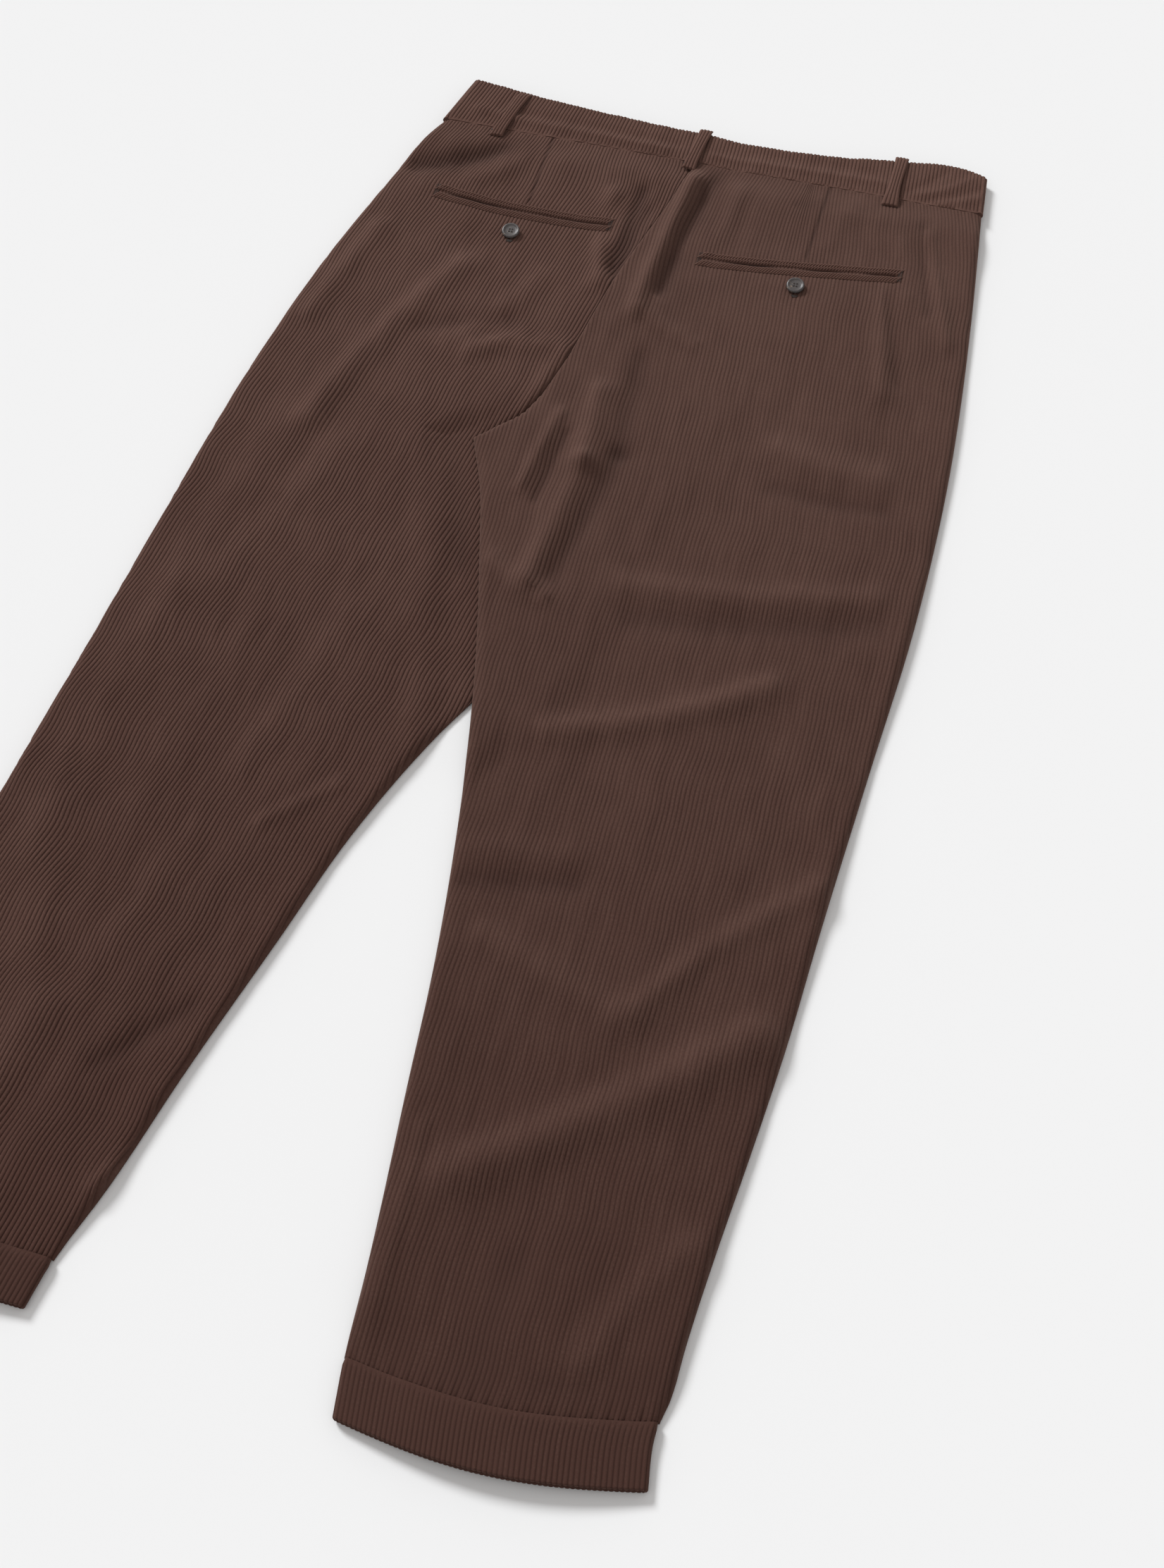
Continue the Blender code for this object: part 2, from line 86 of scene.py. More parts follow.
# Outlines, as (y, x) points on smooth curves
SIDE = {
    "right": ((-60, 220), (-156, 229), (-369, 240), (-479, 238), (-596, 230), (-734, 221),
              (-809, 217), (-890, 210), (-950, 204), (-1013, 199), (-1045, 197.5), (-1060, 194.5),
              (-1106, 198.5)),
    "left": ((-60, -225), (-89, -236), (-145, -251), (-251, -275), (-332, -288), (-534, -308),
             (-699, -322), (-880, -339), (-1062, -356)),
}
INSEAM = {
    "right": ((-385, -107), (-425, -91), (-485, -74), (-607, -44), (-725, -23), (-815, -11),
              (-891, -4), (-1015, 7.5), (-1067, 11), (-1104, 15.5)),
    "left": ((-385, -107), (-392, -88), (-405, -66), (-430, -38), (-480, -16), (-540, -18),
             (-590, -35), (-644, -60), (-730, -91), (-820, -113.5), (-919, -138.5), (-1007, -158.5),
             (-1054, -172), (-1088, -177.5)),
}
SEAT_SEAM = ((-60, -12), (-114, -24), (-182, -41), (-266, -56), (-304, -63), (-337, -72),
             (-355, -80), (-369, -92), (-385, -107))
FRONT_SEAM = ((-60, 2), (-150, -2), (-250, -12), (-310, -30), (-340, -46), (-360, -66), (-385, -107))

# The right leg lies on the left leg up to this line, and comes down to the surface beyond it
LIFT_LINE = ((-300, -10), (-430, -8), (-480, 12), (-540, 12), (-590, 4), (-640, -26), (-700, -70))
LIFT = 2 * (CLOTH + GAP) + 0.3
LIFT_SLOPE = 32.0
LIFT_FADE = (-384.0, -325.0)
PRESS_FROM = 42.0
PRESS_TO = 15.0
PARTING = (-700.0, -618.0)

# Hems: (y at the inseam, y at the side) of the stitched line and of the folded end
HEM_TOP = {"right": (-1067, -1058.5), "left": (-1054, -1029)}
HEM_END = {"right": (-1102.5, -1097.5), "left": (-1086, -1062)}
HEM_BULGE = {"right": 12.0, "left": 7.0}
HEM_BULGE_START = -760.0
HEM_LIFT = 4.0
HEM_LIFT_LENGTH = 90.0
HEM_GAP = 2.9

# Waist
BAND_TOP = ((-213, -8), (-205, -9), (-160, -15), (-105, -21), (-20, -26), (45, -28), (97, -25),
            (148, -17), (200, -13), (217, -18))
BAND_END = {"left": (-226, -213), "right": (221, 218)}
BAND_FRONT_Z = 3.65
BAND_FLOOR = 2.8
BAND_FLOOR_FADE = (-130.0, -80.0)
CLOSURE = 18.0

# Belt loops: (x at the top, x at the bottom, how far the top stands above the waistband)
LOOP_WIDTH = 11.0
LOOP_THICK = 2.0
LOOP_BOTTOM = -71.0
LOOPS_BACK = {"left": (-167, -178, -2.5), "centre": (-12, -17, 2.5), "right": (148, 147, 2.0)}
LOOPS_FRONT = {"left": (-118, -120, 2.0), "right": (118, 120, 2.0)}

# Back pockets: slot ends and the middle's sag, as x, y, x, y, sag
WELT = 7.6
WELT_THICK = 1.25
WELT_PITCH = 2.3
POCKETS = {"left": (-206, -143, -63, -146.5, 4.0), "right": (14, -165, 169, -145.5, 1.3)}

# Buttons
BUTTON_POCKET = {"left": (-136.5, -174.5), "right": (92.5, -177)}
BUTTON_RADIUS = 7.1
BUTTON_THICK = 2.6
BUTTON_GAP = 0.5
BUTTON_HOLE = 0.75
BUTTON_TILT = 0.14
BUTTON_RAISED = 0.8
BUTTON_DISH = 0.66
BUTTON_HOLE_SPREAD = 1.5
# The turned outline of a button, as shares of its radius and thickness
BUTTON_PROFILE = (
    (0.0, BUTTON_DISH), (0.05, BUTTON_DISH), (0.40, BUTTON_DISH), (0.62, BUTTON_DISH), (0.68, 0.72),
    (0.74, 0.90), (0.79, 0.98), (0.85, 1.00), (0.91, 0.94), (0.96, 0.80), (0.995, 0.60), (1.0, 0.50),
    (0.985, 0.34), (0.93, 0.16), (0.84, 0.05), (0.72, 0.0), (0.40, 0.0), (0.05, 0.0), (0.0, 0.0),
)
WAIST_BUTTON = (2, -38)
WAIST_BUTTON_THICK = 1.9

# Fly
FLY_WIDTH = 38.0
FLY_END = -236.0
FLY_CURVE = 46.0
FLY_THICK = 1.2
FLY_LIFT = 1.55

# Folds of the cloth, as x, y, x, y, sideways bow, half width, height
CAD_FOLDS = ((-12, -70, -40, -215, 0, 15.0, 1.1), (18, -75, 0, -200, 0, 14.0, -0.9),
             (-62, -95, -66, -200, 0, 14.0, -0.9), (-188, -78, -232, -150, 0, 14.0, 0.9),
             (-70, -492, -14, -520, 0, 16.0, 0.7))


# ------------------------------------------------------------------ shared shapes

def along(points, place):
    """The value at a place on the smooth curve through (place, value) points."""
    places, values = np.array(sorted(points), float).T
    slopes = np.gradient(values, places)
    place = np.clip(place, places[0], places[-1])
    i = np.clip(np.searchsorted(places, place) - 1, 0, len(places) - 2)
    step = places[i + 1] - places[i]
    f = (place - places[i]) / step
    start = values[i] * (1 + 2 * f) * (1 - f) ** 2 + slopes[i] * step * f * (1 - f) ** 2
    end = values[i + 1] * (3 - 2 * f) * f**2 + slopes[i + 1] * step * f**2 * (f - 1)
    return start + end


def fade(value, start, end):
    """0 at start and 1 at end, with soft ends."""
    f = np.clip((value - start) / (end - start), 0.0, 1.0)
    return f * f * (3 - 2 * f)


def blend(a, b, f):
    """From a at a share of 0 to b at a share of 1."""
    return a + (b - a) * f


def quarter_round(gap, radius):
    """1 from the radius on, and down a quarter of an ellipse to 0 at the edge."""
    f = np.clip(1 - gap / radius, 0.0, 1.0)
    return np.sqrt(1 - f * f)


def inner_x(y, side, seam):
    """A leg's inner edge: a centre seam down to the crotch, and the inseam below it."""
    return np.where(y >= CROTCH, along(seam, y), along(INSEAM[side], y))


def hem_line(side, s):
    """The y of a hem's stitched line at a share s across the leg."""
    inner, outer = HEM_TOP[side]
    return blend(inner, outer, s) - HEM_BULGE[side] * np.sin(math.pi * s)


def over_left(x, y):
    """How far the right leg is on top of the left one here, from 0 to 1."""
    beyond = 1 - fade(x - along(LIFT_LINE, y), 0.0, LIFT_SLOPE)
    return beyond * fade(y, LIFT_FADE[1], LIFT_FADE[0])


def pressed(x, y):
    """How far the left leg is pressed flat by the right one here, from 0 to 1."""
    edge = inner_x(y, "right", SEAT_SEAM)
    under = fade(x, edge - PRESS_FROM, edge - PRESS_TO)
    return under * fade(y, LIFT_FADE[1], LIFT_FADE[0]) * fade(y, *PARTING)


def floor_height(x, y, side, s):
    """The underside of a front panel above the surface."""
    waist = BAND_FLOOR * fade(y, *BAND_FLOOR_FADE)
    beside = 1 - fade(np.abs(x + FLY_WIDTH / 2), 30.0, 46.0)
    fly = FLY_LIFT * beside * fade(y, FLY_END - 34, FLY_END - 8)
    reach = np.maximum(hem_line(side, s) + HEM_LIFT_LENGTH - y, 0.0) / HEM_LIFT_LENGTH
    hem = HEM_LIFT * np.sin(math.pi * s) * reach**2
    lift = LIFT * over_left(x, y) if side == "right" else 0.0
    return np.maximum(waist, fly) + hem + lift


def fold_height(folds, x, y):
    """How far a list of folds raises or lowers the cloth here."""
    total = np.zeros_like(x)
    for x0, y0, x1, y1, bow, width, height in folds:
        length = math.hypot(x1 - x0, y1 - y0)
        ahead = ((x - x0) * (x1 - x0) + (y - y0) * (y1 - y0)) / length
        aside = ((x - x0) * (y1 - y0) - (y - y0) * (x1 - x0)) / length
        share = np.clip(ahead / length, 0.0, 1.0)
        aside = aside - bow * 4 * share * (1 - share)
        past = np.maximum(np.maximum(-ahead, ahead - length), 0.0)
        total += height * np.exp(-(aside**2 + past**2) / width**2)
    return total


# ------------------------------------------------------------------ the layers' heights

LOOSE = 2.9

# Undulations: a seed for each side, the shortest and longest in mm, how many, and their stretch
BROAD_WAVES = ({"right": 5, "left": 8}, 40.0, 110.0, 9, 1.6)
SMALL_WAVES = ({"right": 21, "left": 34}, 14.0, 34.0, 12, 1.8)
WALE_WAVES = ({"right": 17, "left": 29}, 45.0, 150.0, 8, 1.3)
BROAD_HEIGHT = 2.2
SMALL_HEIGHT = 0.7

# Creases of the back, as x, y, x, y, sideways bow, half width, height
CREASES_RIGHT = (
    # the seat: the seam's ridge, its trough, and the pulls beside them
    (-8, -78, -22, -235, 2, 7.5, 5.6), (6, -72, -8, -205, 2, 7.0, -3.6), (30, -80, 24, -150, 0, 8.0, 1.6),
    (157, -146, 176, -270, 0, 8.0, 2.8), (183, -96, 216, -208, 0, 6.0, 2.9),
    (165, -171, 187, -256, 0, 5.5, -1.6), (178, -89, 198, -178, 0, 5.0, -2.0),
    (164, -109, 176, -168, 0, 6.0, 1.8), (2, -170, 7, -250, 0, 9.0, -1.0), (65, -177, 102, -168, 0, 6.0, 1.2),
    (77, -88, 138, -77, 0, 4.5, -1.1), (120, -66, 108, -128, 0, 8.0, 1.4),
    (-16, -232, 30, -256, 0, 5.0, 2.3), (114, -342, 186, -352, 3, 15.0, 3.7),
    # down from the crotch along the inseam
    (-27, -320, -23, -392, 0, 9.5, 5.3), (-23, -392, -34, -512, 0, 9.5, 4.7),
    (-5, -276, 2, -375, 0, 8.5, -2.2), (2, -375, -16, -497, 0, 8.5, -2.4),
    (-50, -348, -60, -424, 0, 5.5, 3.1),
    (-61, -494, -18, -520, 2, 6.0, 3.4), (-40, -366, -46, -434, 0, 4.5, -1.9),
    # across the thigh and the knee
    (36, -492, 206, -460, 4, 10.5, 3.6), (14, -624, 150, -552, 8, 11.0, 5.3),
    (-6, -722, 54, -714, 0, 9.5, 2.2), (16, -784, 122, -824, 0, 9.5, 3.1),
    (116, -818, 214, -700, -6, 10.0, 3.7), (40, -946, 198, -814, 4, 16.0, 7.1),
    (119, -379, 196, -380, 2, 10.0, -1.8), (48, -519, 210, -483, 3, 12.0, -2.2),
    (-8, -749, 63, -734, 0, 8.0, -2.2),
    # down the shin to the hem
    (14, -920, 22, -1070, 0, 6.0, 2.2), (190, -954, 146, -1036, 4, 11.5, 2.9),
    (92, -990, 84, -1060, 0, 12.5, -1.4), (188, -1050, 196, -1066, 0, 5.5, 2.2),
    (122, -1057, 153, -1050, 0, 5.0, -1.4),
)
CREASES_LEFT = (
    # the seat: the fold under the belt loop, and the pull towards the seat seam
    (-168, -82, -230, -116, -6, 9.5, -4.8), (-150, -96, -214, -140, -6, 8.0, 2.0),
    (-68, -112, -57, -210, 3, 7.5, 4.2), (-46, -104, -50, -190, 0, 6.5, -4.0),
    (-164, -218, -230, -398, 6, 12.0, 5.1), (-240, -194, -264, -294, 0, 10.0, 4.0),
    (-132, -298, -66, -280, 0, 8.5, 2.9), (-64, -288, -80, -392, 3, 6.5, 2.9),
    (-46, -298, -57, -368, 0, 5.5, 2.2), (-130, -390, -106, -456, 0, 7.0, 2.3),
    (-96, -210, -150, -300, 0, 10.5, 1.9), (-200, -420, -250, -560, 0, 16.0, 2.2),
    (-175, -286, -115, -263, 0, 9.0, -2.2), (-100, -278, -135, -309, 0, 7.0, 2.0),
    (-127, -394, -83, -498, 0, 10.0, -2.4), (-36, -119, -46, -200, 0, 5.0, -2.0),
    # down the thigh and the shin
    (-140, -560, -176, -700, 0, 12.5, 1.9), (-270, -560, -296, -740, 0, 12.5, 1.9),
    (-292, -768, -240, -938, 0, 17.5, 2.8), (-190, -760, -224, -900, 0, 12.5, 2.0),
    (-110, -700, -150, -740, 0, 6.0, 2.0), (-131, -954, -162, -1004, 0, 6.0, 2.9),
    (-150, -880, -190, -930, 0, 8.0, -2.2), (-240, -900, -262, -1030, 0, 13.0, 2.0),
)
CREASES = {"right": CREASES_RIGHT, "left": CREASES_LEFT}
SLOT_WIDTH = 1.8
SLOT_DEPTH = 1.2
DARTS = {"left": (-132, -57, -132, -140), "right": (98, -57, 94, -147)}


def waves(x, y, seed, shortest, longest, count, stretch):
    """Soft random undulation, longer along the leg than across it."""
    random = np.random.default_rng(seed)
    total = np.zeros_like(x)
    for _ in range(count):
        length = random.uniform(shortest, longest)
        turn = random.uniform(-0.6, 0.6)
        phase = random.uniform(0, 2 * math.pi)
        across = (x * math.cos(turn) + y * math.sin(turn) / stretch) * 2 * math.pi / length
        total += np.sin(across + phase)
    return total / count


def side_waves(side, x, y, kind):
    """A kind of undulation, with the seed of this side."""
    seeds, *spread = kind
    return waves(x, y, seeds[side], *spread)


def slot_y(side, x):
    """The height of a pocket's slot."""
    x0, y0, x1, y1, sag = POCKETS[side]
    f = np.clip((x - x0) / (x1 - x0), 0.0, 1.0)
    return blend(y0, y1, f) - sag * 4 * f * (1 - f)


def near_pocket(side, x, y):
    """1 on a pocket's welts, falling to 0 a little way off."""
    x0, _, x1, _, _ = POCKETS[side]
    beyond = np.maximum(np.maximum(x0 - x, x - x1), 0.0)
    off = np.maximum(np.abs(y - slot_y(side, x)) - WELT, 0.0)
    return 1 - fade(np.hypot(beyond, off), 0.0, 22.0)


def slot_depth(side, x, y):
    """How open a pocket's slot is here, from 0 to 1."""
    x0, _, x1, _, _ = POCKETS[side]
    inside = fade(x, x0 - 1, x0 + 4) * (1 - fade(x, x1 - 4, x1 + 1))
    return inside * np.exp(-(((y - slot_y(side, x)) / SLOT_WIDTH) ** 2))


def dart_depth(side, x, y):
    """The groove of a dart's seam, from 0 to 1."""
    x0, y0, x1, y1 = DARTS[side]
    f = np.clip((y - y0) / (y1 - y0), 0.0, 1.0)
    off = x - blend(x0, x1, f)
    here = fade(y, y1 - 1, y1 + 3) * (1 - fade(y, y0 - 2, y0 + 2))
    return here * (np.exp(-((off / 1.3) ** 2)) - 0.45 * np.exp(-(((off + 4.0) / 3.0) ** 2)))


def pucker(x, y, line, seed, reach):
    """Small gathers beside a seam that fade with distance from it."""
    beat = np.sin(x * 2 * math.pi / 10.5 + 1.7 * np.sin(x / 17.0 + seed))
    return beat * np.exp(-np.abs(y - line) / reach)


def loose_height(side, x, y, s):
    """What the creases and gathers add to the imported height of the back."""
    bottom = hem_line(side, s)
    calm = fade(y, WAIST_SEAM - 2, WAIST_SEAM - 30) * fade(y, bottom + 2, bottom + 40)
    creases = fold_height(CREASES[side], x, y)
    creases = creases + BROAD_HEIGHT * side_waves(side, x, y, BROAD_WAVES)
    creases = creases + SMALL_HEIGHT * side_waves(side, x, y, SMALL_WAVES)
    flat = 1 - 0.75 * near_pocket(side, x, y)
    total = (LOOSE + creases * flat) * calm
    total = total + 0.12 * pucker(x, y, WAIST_SEAM, 1.0, 6.0) + 0.45 * pucker(x, y, bottom, 2.0, 7.0)
    total = total - 0.8 * np.exp(-((y - bottom) / 3.0) ** 2) - 0.3 * np.exp(-((y - WAIST_SEAM) / 2.0) ** 2)
    return total - 0.6 * dart_depth(side, x, y)


def packed_puff(x, y):
    """The height between the front and back panels, as packed."""
    wave = np.sin(y / 61.0 + x / 95.0) * np.sin(x / 43.0 - y / 150.0)
    return PUFF + PUFF_WAVE * wave + fold_height(CAD_FOLDS, x, y)


def back_height(side, x, y, s, inner_gap, outer_gap, inset=0.0):
    """A back panel's outer face, or a face that lies inset inside it."""
    puff = packed_puff(x, y) + loose_height(side, x, y, s)
    if side == "left":
        puff = puff * (1 - pressed(x, y))
        depth, reach = SEAT_TUCK
        puff = puff - depth * np.exp(-((inner_gap / reach) ** 2)) * fade(y, *SEAT_END)
    else:
        height, reach = SEAT_RISE
        puff = puff + height * np.exp(-((inner_gap / reach) ** 2)) * fade(y, *SEAT_END)
    puff = np.maximum(puff, LEAST_PUFF)
    start = floor_height(x, y, side, s) + CLOTH + GAP
    rise = CLOTH + puff
    folded = fade(y, SEAT_END[1], CROTCH)
    outer = quarter_round(outer_gap - inset, EDGE_ROUND - inset)
    inner = quarter_round(inner_gap - inset, EDGE_ROUND - inset)
    lip = 1 - SEAM_TURN[0] * (1 - quarter_round(inner_gap, SEAM_TURN[1]))
    slot = SLOT_DEPTH * slot_depth(side, x, y)
    return start + (rise - inset) * outer * blend(lip, inner, folded) - slot


def share_at(side, x, y, seam):
    """The share across a panel, and the distances from its inner and outer edges."""
    inner = inner_x(y, side, seam)
    outer = along(SIDE[side], y)
    s = np.clip((x - inner) / (outer - inner), 0.0, 1.0)
    return s, np.abs(x - inner), np.abs(outer - x)


def back_top(x, y):
    """The height of the back's outer face at a place."""
    x, y = np.asarray(x, float), np.asarray(y, float)
    side = "right" if float(np.mean(x)) > float(along(SEAT_SEAM, float(np.mean(y)))) else "left"
    s, inner_gap, outer_gap = share_at(side, x, y, SEAT_SEAM)
    return back_height(side, x, y, s, inner_gap, outer_gap)


def band_height(side, x):
    """The middle of the waistband's cloth on the back."""
    x = np.asarray(x, float)
    y = np.full_like(x, WAIST_SEAM - 4)
    s = np.full_like(x, 0.5)
    return (floor_height(x, y, side, s) + 1.5 * CLOTH + GAP + packed_puff(x, y) + BAND_GAP)


# ------------------------------------------------------------------ meshes

def place_on_base(points):
    """Pattern millimetres to the part's metres."""
    return (np.asarray(points, float) - (*ORIGIN, 0.0)) * MM


def merged(grid):
    """One index for each place of a grid of points, and the points themselves."""
    rows, columns, _ = grid.shape
    flat = grid.reshape(-1, 3)
    _, first, index = np.unique(np.round(flat, 3), axis=0, return_index=True, return_inverse=True)
    return index.reshape(rows, columns), flat[first], first


def grid_faces(ids, closed):
    """Triangles of a grid, without those that merging has flattened."""
    if closed:
        ids = np.concatenate([ids, ids[:, :1]], axis=1)
    a, b, c, d = ids[:-1, :-1], ids[:-1, 1:], ids[1:, 1:], ids[1:, :-1]
    faces = np.concatenate([np.stack([a, b, c], -1).reshape(-1, 3), np.stack([a, c, d], -1).reshape(-1, 3)])
    first, second, third = faces.T
    return faces[(first != second) & (second != third) & (third != first)]


def edge_runs(ids, closed):
    """The edge of a grid as runs of indices, in the direction its faces use."""
    if closed:
        runs = [np.append(ids[0], ids[0, 0]), np.append(ids[-1], ids[-1, 0])[::-1]]
    else:
        runs = [ids[0], ids[:, -1], ids[-1, ::-1], ids[::-1, 0]]
    kept = []
    for run in runs:
        keep = np.append(True, run[1:] != run[:-1])
        kept.append(run[keep])
    return kept


def shares_along(points, run):
    """How far along an edge each of its points is, from 0 to 1."""
    steps = np.linalg.norm(np.diff(points[run], axis=0), axis=1)
    travelled = np.append(0.0, np.cumsum(steps))
    return travelled / max(travelled[-1], 1e-9)


def bridge(points, outer, inner):
    """Triangles between two edges that run side by side."""
    reach, other = shares_along(points, outer), shares_along(points, inner)
    faces, i, j = [], 0, 0
    while i < len(outer) - 1 or j < len(inner) - 1:
        turn_outer = i < len(outer) - 1 and (j == len(inner) - 1 or reach[i + 1] <= other[j + 1])
        if turn_outer:
            faces.append((outer[i + 1], outer[i], inner[j]))
            i += 1
        else:
            faces.append((inner[j], inner[j + 1], outer[i]))
            j += 1
    return faces


def signed_volume(points, faces):
    """The volume inside the faces, below 0 where they face inwards."""
    a, b, c = points[faces[:, 0]], points[faces[:, 1]], points[faces[:, 2]]
    return float(np.einsum("ij,ij->i", a, np.cross(b, c)).sum()) / 6


def make_mesh(name, points, faces, values, uv):
    """A mesh of triangles with its point values and one UV map, in the part's metres."""
    points = place_on_base(points)
    if signed_volume(points - points.mean(axis=0), faces) < 0:
        faces = faces[:, ::-1]
    mesh = bpy.data.meshes.new(name)
    mesh.vertices.add(len(points))
    mesh.vertices.foreach_set("co", points.astype(np.float32).ravel())
    mesh.loops.add(len(faces) * 3)
    mesh.loops.foreach_set("vertex_index", faces.astype(np.int32).ravel())
    mesh.polygons.add(len(faces))
    mesh.polygons.foreach_set("loop_start", np.arange(0, len(faces) * 3, 3, dtype=np.int32))
    mesh.update(calc_edges=True)
    for key, value in values.items():
        layer = mesh.attributes.new(key, "FLOAT", "POINT")
        layer.data.foreach_set("value", value.astype(np.float32))
    layer = mesh.uv_layers.new(name="cloth")
    layer.data.foreach_set("uv", (uv[faces] * MM).astype(np.float32).ravel())
    mesh.shade_smooth()
    piece = bpy.data.objects.new(name, mesh)
    bpy.context.scene.collection.objects.link(piece)
    return piece


def cloth_shell(name, outer, inner, wale, pile, shade, closed=False):
    """A closed thin wall between a fine outer grid and a coarse inner one."""
    outer_ids, outer_points, first = merged(outer)
    inner_ids, inner_points, _ = merged(inner)
    start = len(outer_points)
    points = np.concatenate([outer_points, inner_points])
    faces = [grid_faces(outer_ids, closed), grid_faces(inner_ids + start, closed)[:, ::-1]]
    runs = zip(edge_runs(outer_ids, closed), edge_runs(inner_ids + start, closed))
    walls = [face for a, b in runs for face in bridge(points, a, b)]
    faces = np.concatenate(faces + [np.array(walls)])
    plain = np.zeros(len(inner_points))
    values = {
        "wale": np.concatenate([wale.reshape(-1)[first], plain + 0.5]),
        "pile": np.concatenate([pile.reshape(-1)[first], plain]),
        "shade": np.concatenate([shade.reshape(-1)[first], plain]),
    }
    uv = np.stack([values["wale"] * PITCH, points[:, 1]], axis=-1)
    return make_mesh(name, points, faces, values, uv)


def strip(name, rings, wale, pile, shade):
    """A closed strip from a stack of rings, with both ends filled."""
    rows, columns, _ = rings.shape
    ids = np.arange(rows * columns).reshape(rows, columns)
    points = rings.reshape(-1, 3)
    faces = [grid_faces(ids, True)]
    for ring, turned in ((ids[0], False), (ids[-1], True)):
        centre = len(points)
        points = np.concatenate([points, points[ring].mean(axis=0)[None]])
        following = np.roll(ring, -1)
        cap = np.stack([following, ring, np.full_like(ring, centre)], axis=-1)
        faces.append(cap[:, ::-1] if turned else cap)
    ends = np.zeros(2)
    values = {
        "wale": np.concatenate([wale.ravel(), ends + 0.5]),
        "pile": np.concatenate([pile.ravel(), ends]),
        "shade": np.concatenate([shade.ravel(), ends]),
    }
    uv = np.stack([values["wale"] * PITCH, points[:, 1]], axis=-1)
    return make_mesh(name, points, np.concatenate(faces), values, uv)


def wale_stops(first, last, phases):
    """The places of a wale's columns, from one wale to another."""
    return np.array([n + f for n in range(math.floor(first), math.ceil(last) + 1) for f in phases])


def end_rows(length, step, turn_start, turn_end, radius):
    """Distances along a piece, and how far each row turns in at a rounded end."""
    angles = np.radians((90.0, 62.0, 36.0, 16.0))
    start = [(radius * (1 - math.sin(a)), radius * (1 - math.cos(a))) for a in angles] if turn_start else []
    lowest, highest = (radius if turn_start else 0.0), length - (radius if turn_end else 0.0)
    middle = [(t, 0.0) for t in np.linspace(lowest, highest, max(int(length / step), 2))]
    end = [(length - radius * (1 - math.sin(a)), radius * (1 - math.cos(a))) for a in reversed(angles)]
    rows = start + middle + (end if turn_end else [])
    places, insets = np.array(rows).T
    return places, insets


# ------------------------------------------------------------------ panels

def wale_x(side, wale, y):
    """Where a wale runs, named by its place in millimetres across the crotch level."""
    gather = (np.maximum(y + 180, 0.0) / 120) ** 2
    drift = WANDER[side] * side_waves(side, y + 0 * wale, wale + 0 * y, WALE_WAVES)
    if side == "right":
        up = np.maximum(y + 430, 0.0)
        lean = 0.0008 * np.maximum(y + 170, 0.0) ** 2 * (1 - fade(wale, 84.0, 108.0))
        return wale + lean + drift - 0.056 * up * up / (up + 60) - (wale - 95) * 0.075 * gather
    pocket = 6.0 * np.exp(-(((y + 112) / 30) ** 2) - ((wale + 122) / 38) ** 2)
    return wale + drift + pocket + 0.158 * (y + 385) - (wale + 180) * 0.09 * gather


def panel_rows(bottom, step):
    """The rows' places down the inner edge, closer together round the crotch."""
    places = []
    for end in (WAIST_SEAM - SEAM_GAP, bottom):
        far = abs(end - CROTCH)
        gone, reached = [0.0], 0.0
        while reached < far:
            reached += min(step, 1.4 + reached * 0.13)
            gone.append(reached)
        places.append(CROTCH + (end - CROTCH) * np.array(gone) / gone[-1])
    above, below = places
    waist, fold = above[-1:], below[-1:]
    return np.concatenate([waist, waist - SEAM_ROW, above[-2::-1], below[1:-1], fold + SEAM_ROW, fold])


class Panel:
    """The rows of a panel's cut shape, and places on them."""

    def __init__(self, side, seam, step):
        self.side, self.seam = side, seam
        top = WAIST_SEAM - SEAM_GAP
        inner_bottom, outer_bottom = (line + SEAM_GAP for line in HEM_TOP[side])
        inner_y = panel_rows(inner_bottom, step)
        outer_y = top + (inner_y - top) * (outer_bottom - top) / (inner_bottom - top)
        inward = 1 if side == "right" else -1
        self.y0, self.y1 = inner_y[:, None], outer_y[:, None]
        self.x0 = inner_x(self.y0, side, seam) + inward * SEAM_GAP
        self.x1 = along(SIDE[side], self.y1)
        self.bulge = HEM_BULGE[side] * fade(self.y0, HEM_BULGE_START, inner_bottom)
        self.width = np.hypot(self.x1 - self.x0, self.y1 - self.y0)

    def at(self, s):
        """The x and y of shares across every row."""
        y = blend(self.y0, self.y1, s) - self.bulge * np.sin(math.pi * s)
        return blend(self.x0, self.x1, s), y

    def on_wales(self, phases):
        """The shares where wales cross the rows, and the wale at each point."""
        first, last = WALES[self.side]
        wales = PITCH * wale_stops(first / PITCH, last / PITCH, phases)
        if self.side == "left":
            wales = wales[::-1]
        y = np.broadcast_to(self.y0, (len(self.y0), len(wales)))
        for _ in range(5):
            free = (wale_x(self.side, wales[None, :], y) - self.x0) / (self.x1 - self.x0)
            s = np.clip(free, 0.0, 1.0)
            y = blend(self.y0, self.y1, s) - self.bulge * np.sin(math.pi * s)
        margin = 0.3 / self.width
        s = np.where(free < margin, 0.0, np.where(free > 1 - margin, 1.0, s))
        ends = [np.interp(end, row, wales) for row in free for end in (0.0, 1.0)]
        ends = np.array(ends).reshape(-1, 2)
        crossing = np.where(s == 0.0, ends[:, :1], np.where(s == 1.0, ends[:, 1:], wales[None, :]))
        return s, crossing


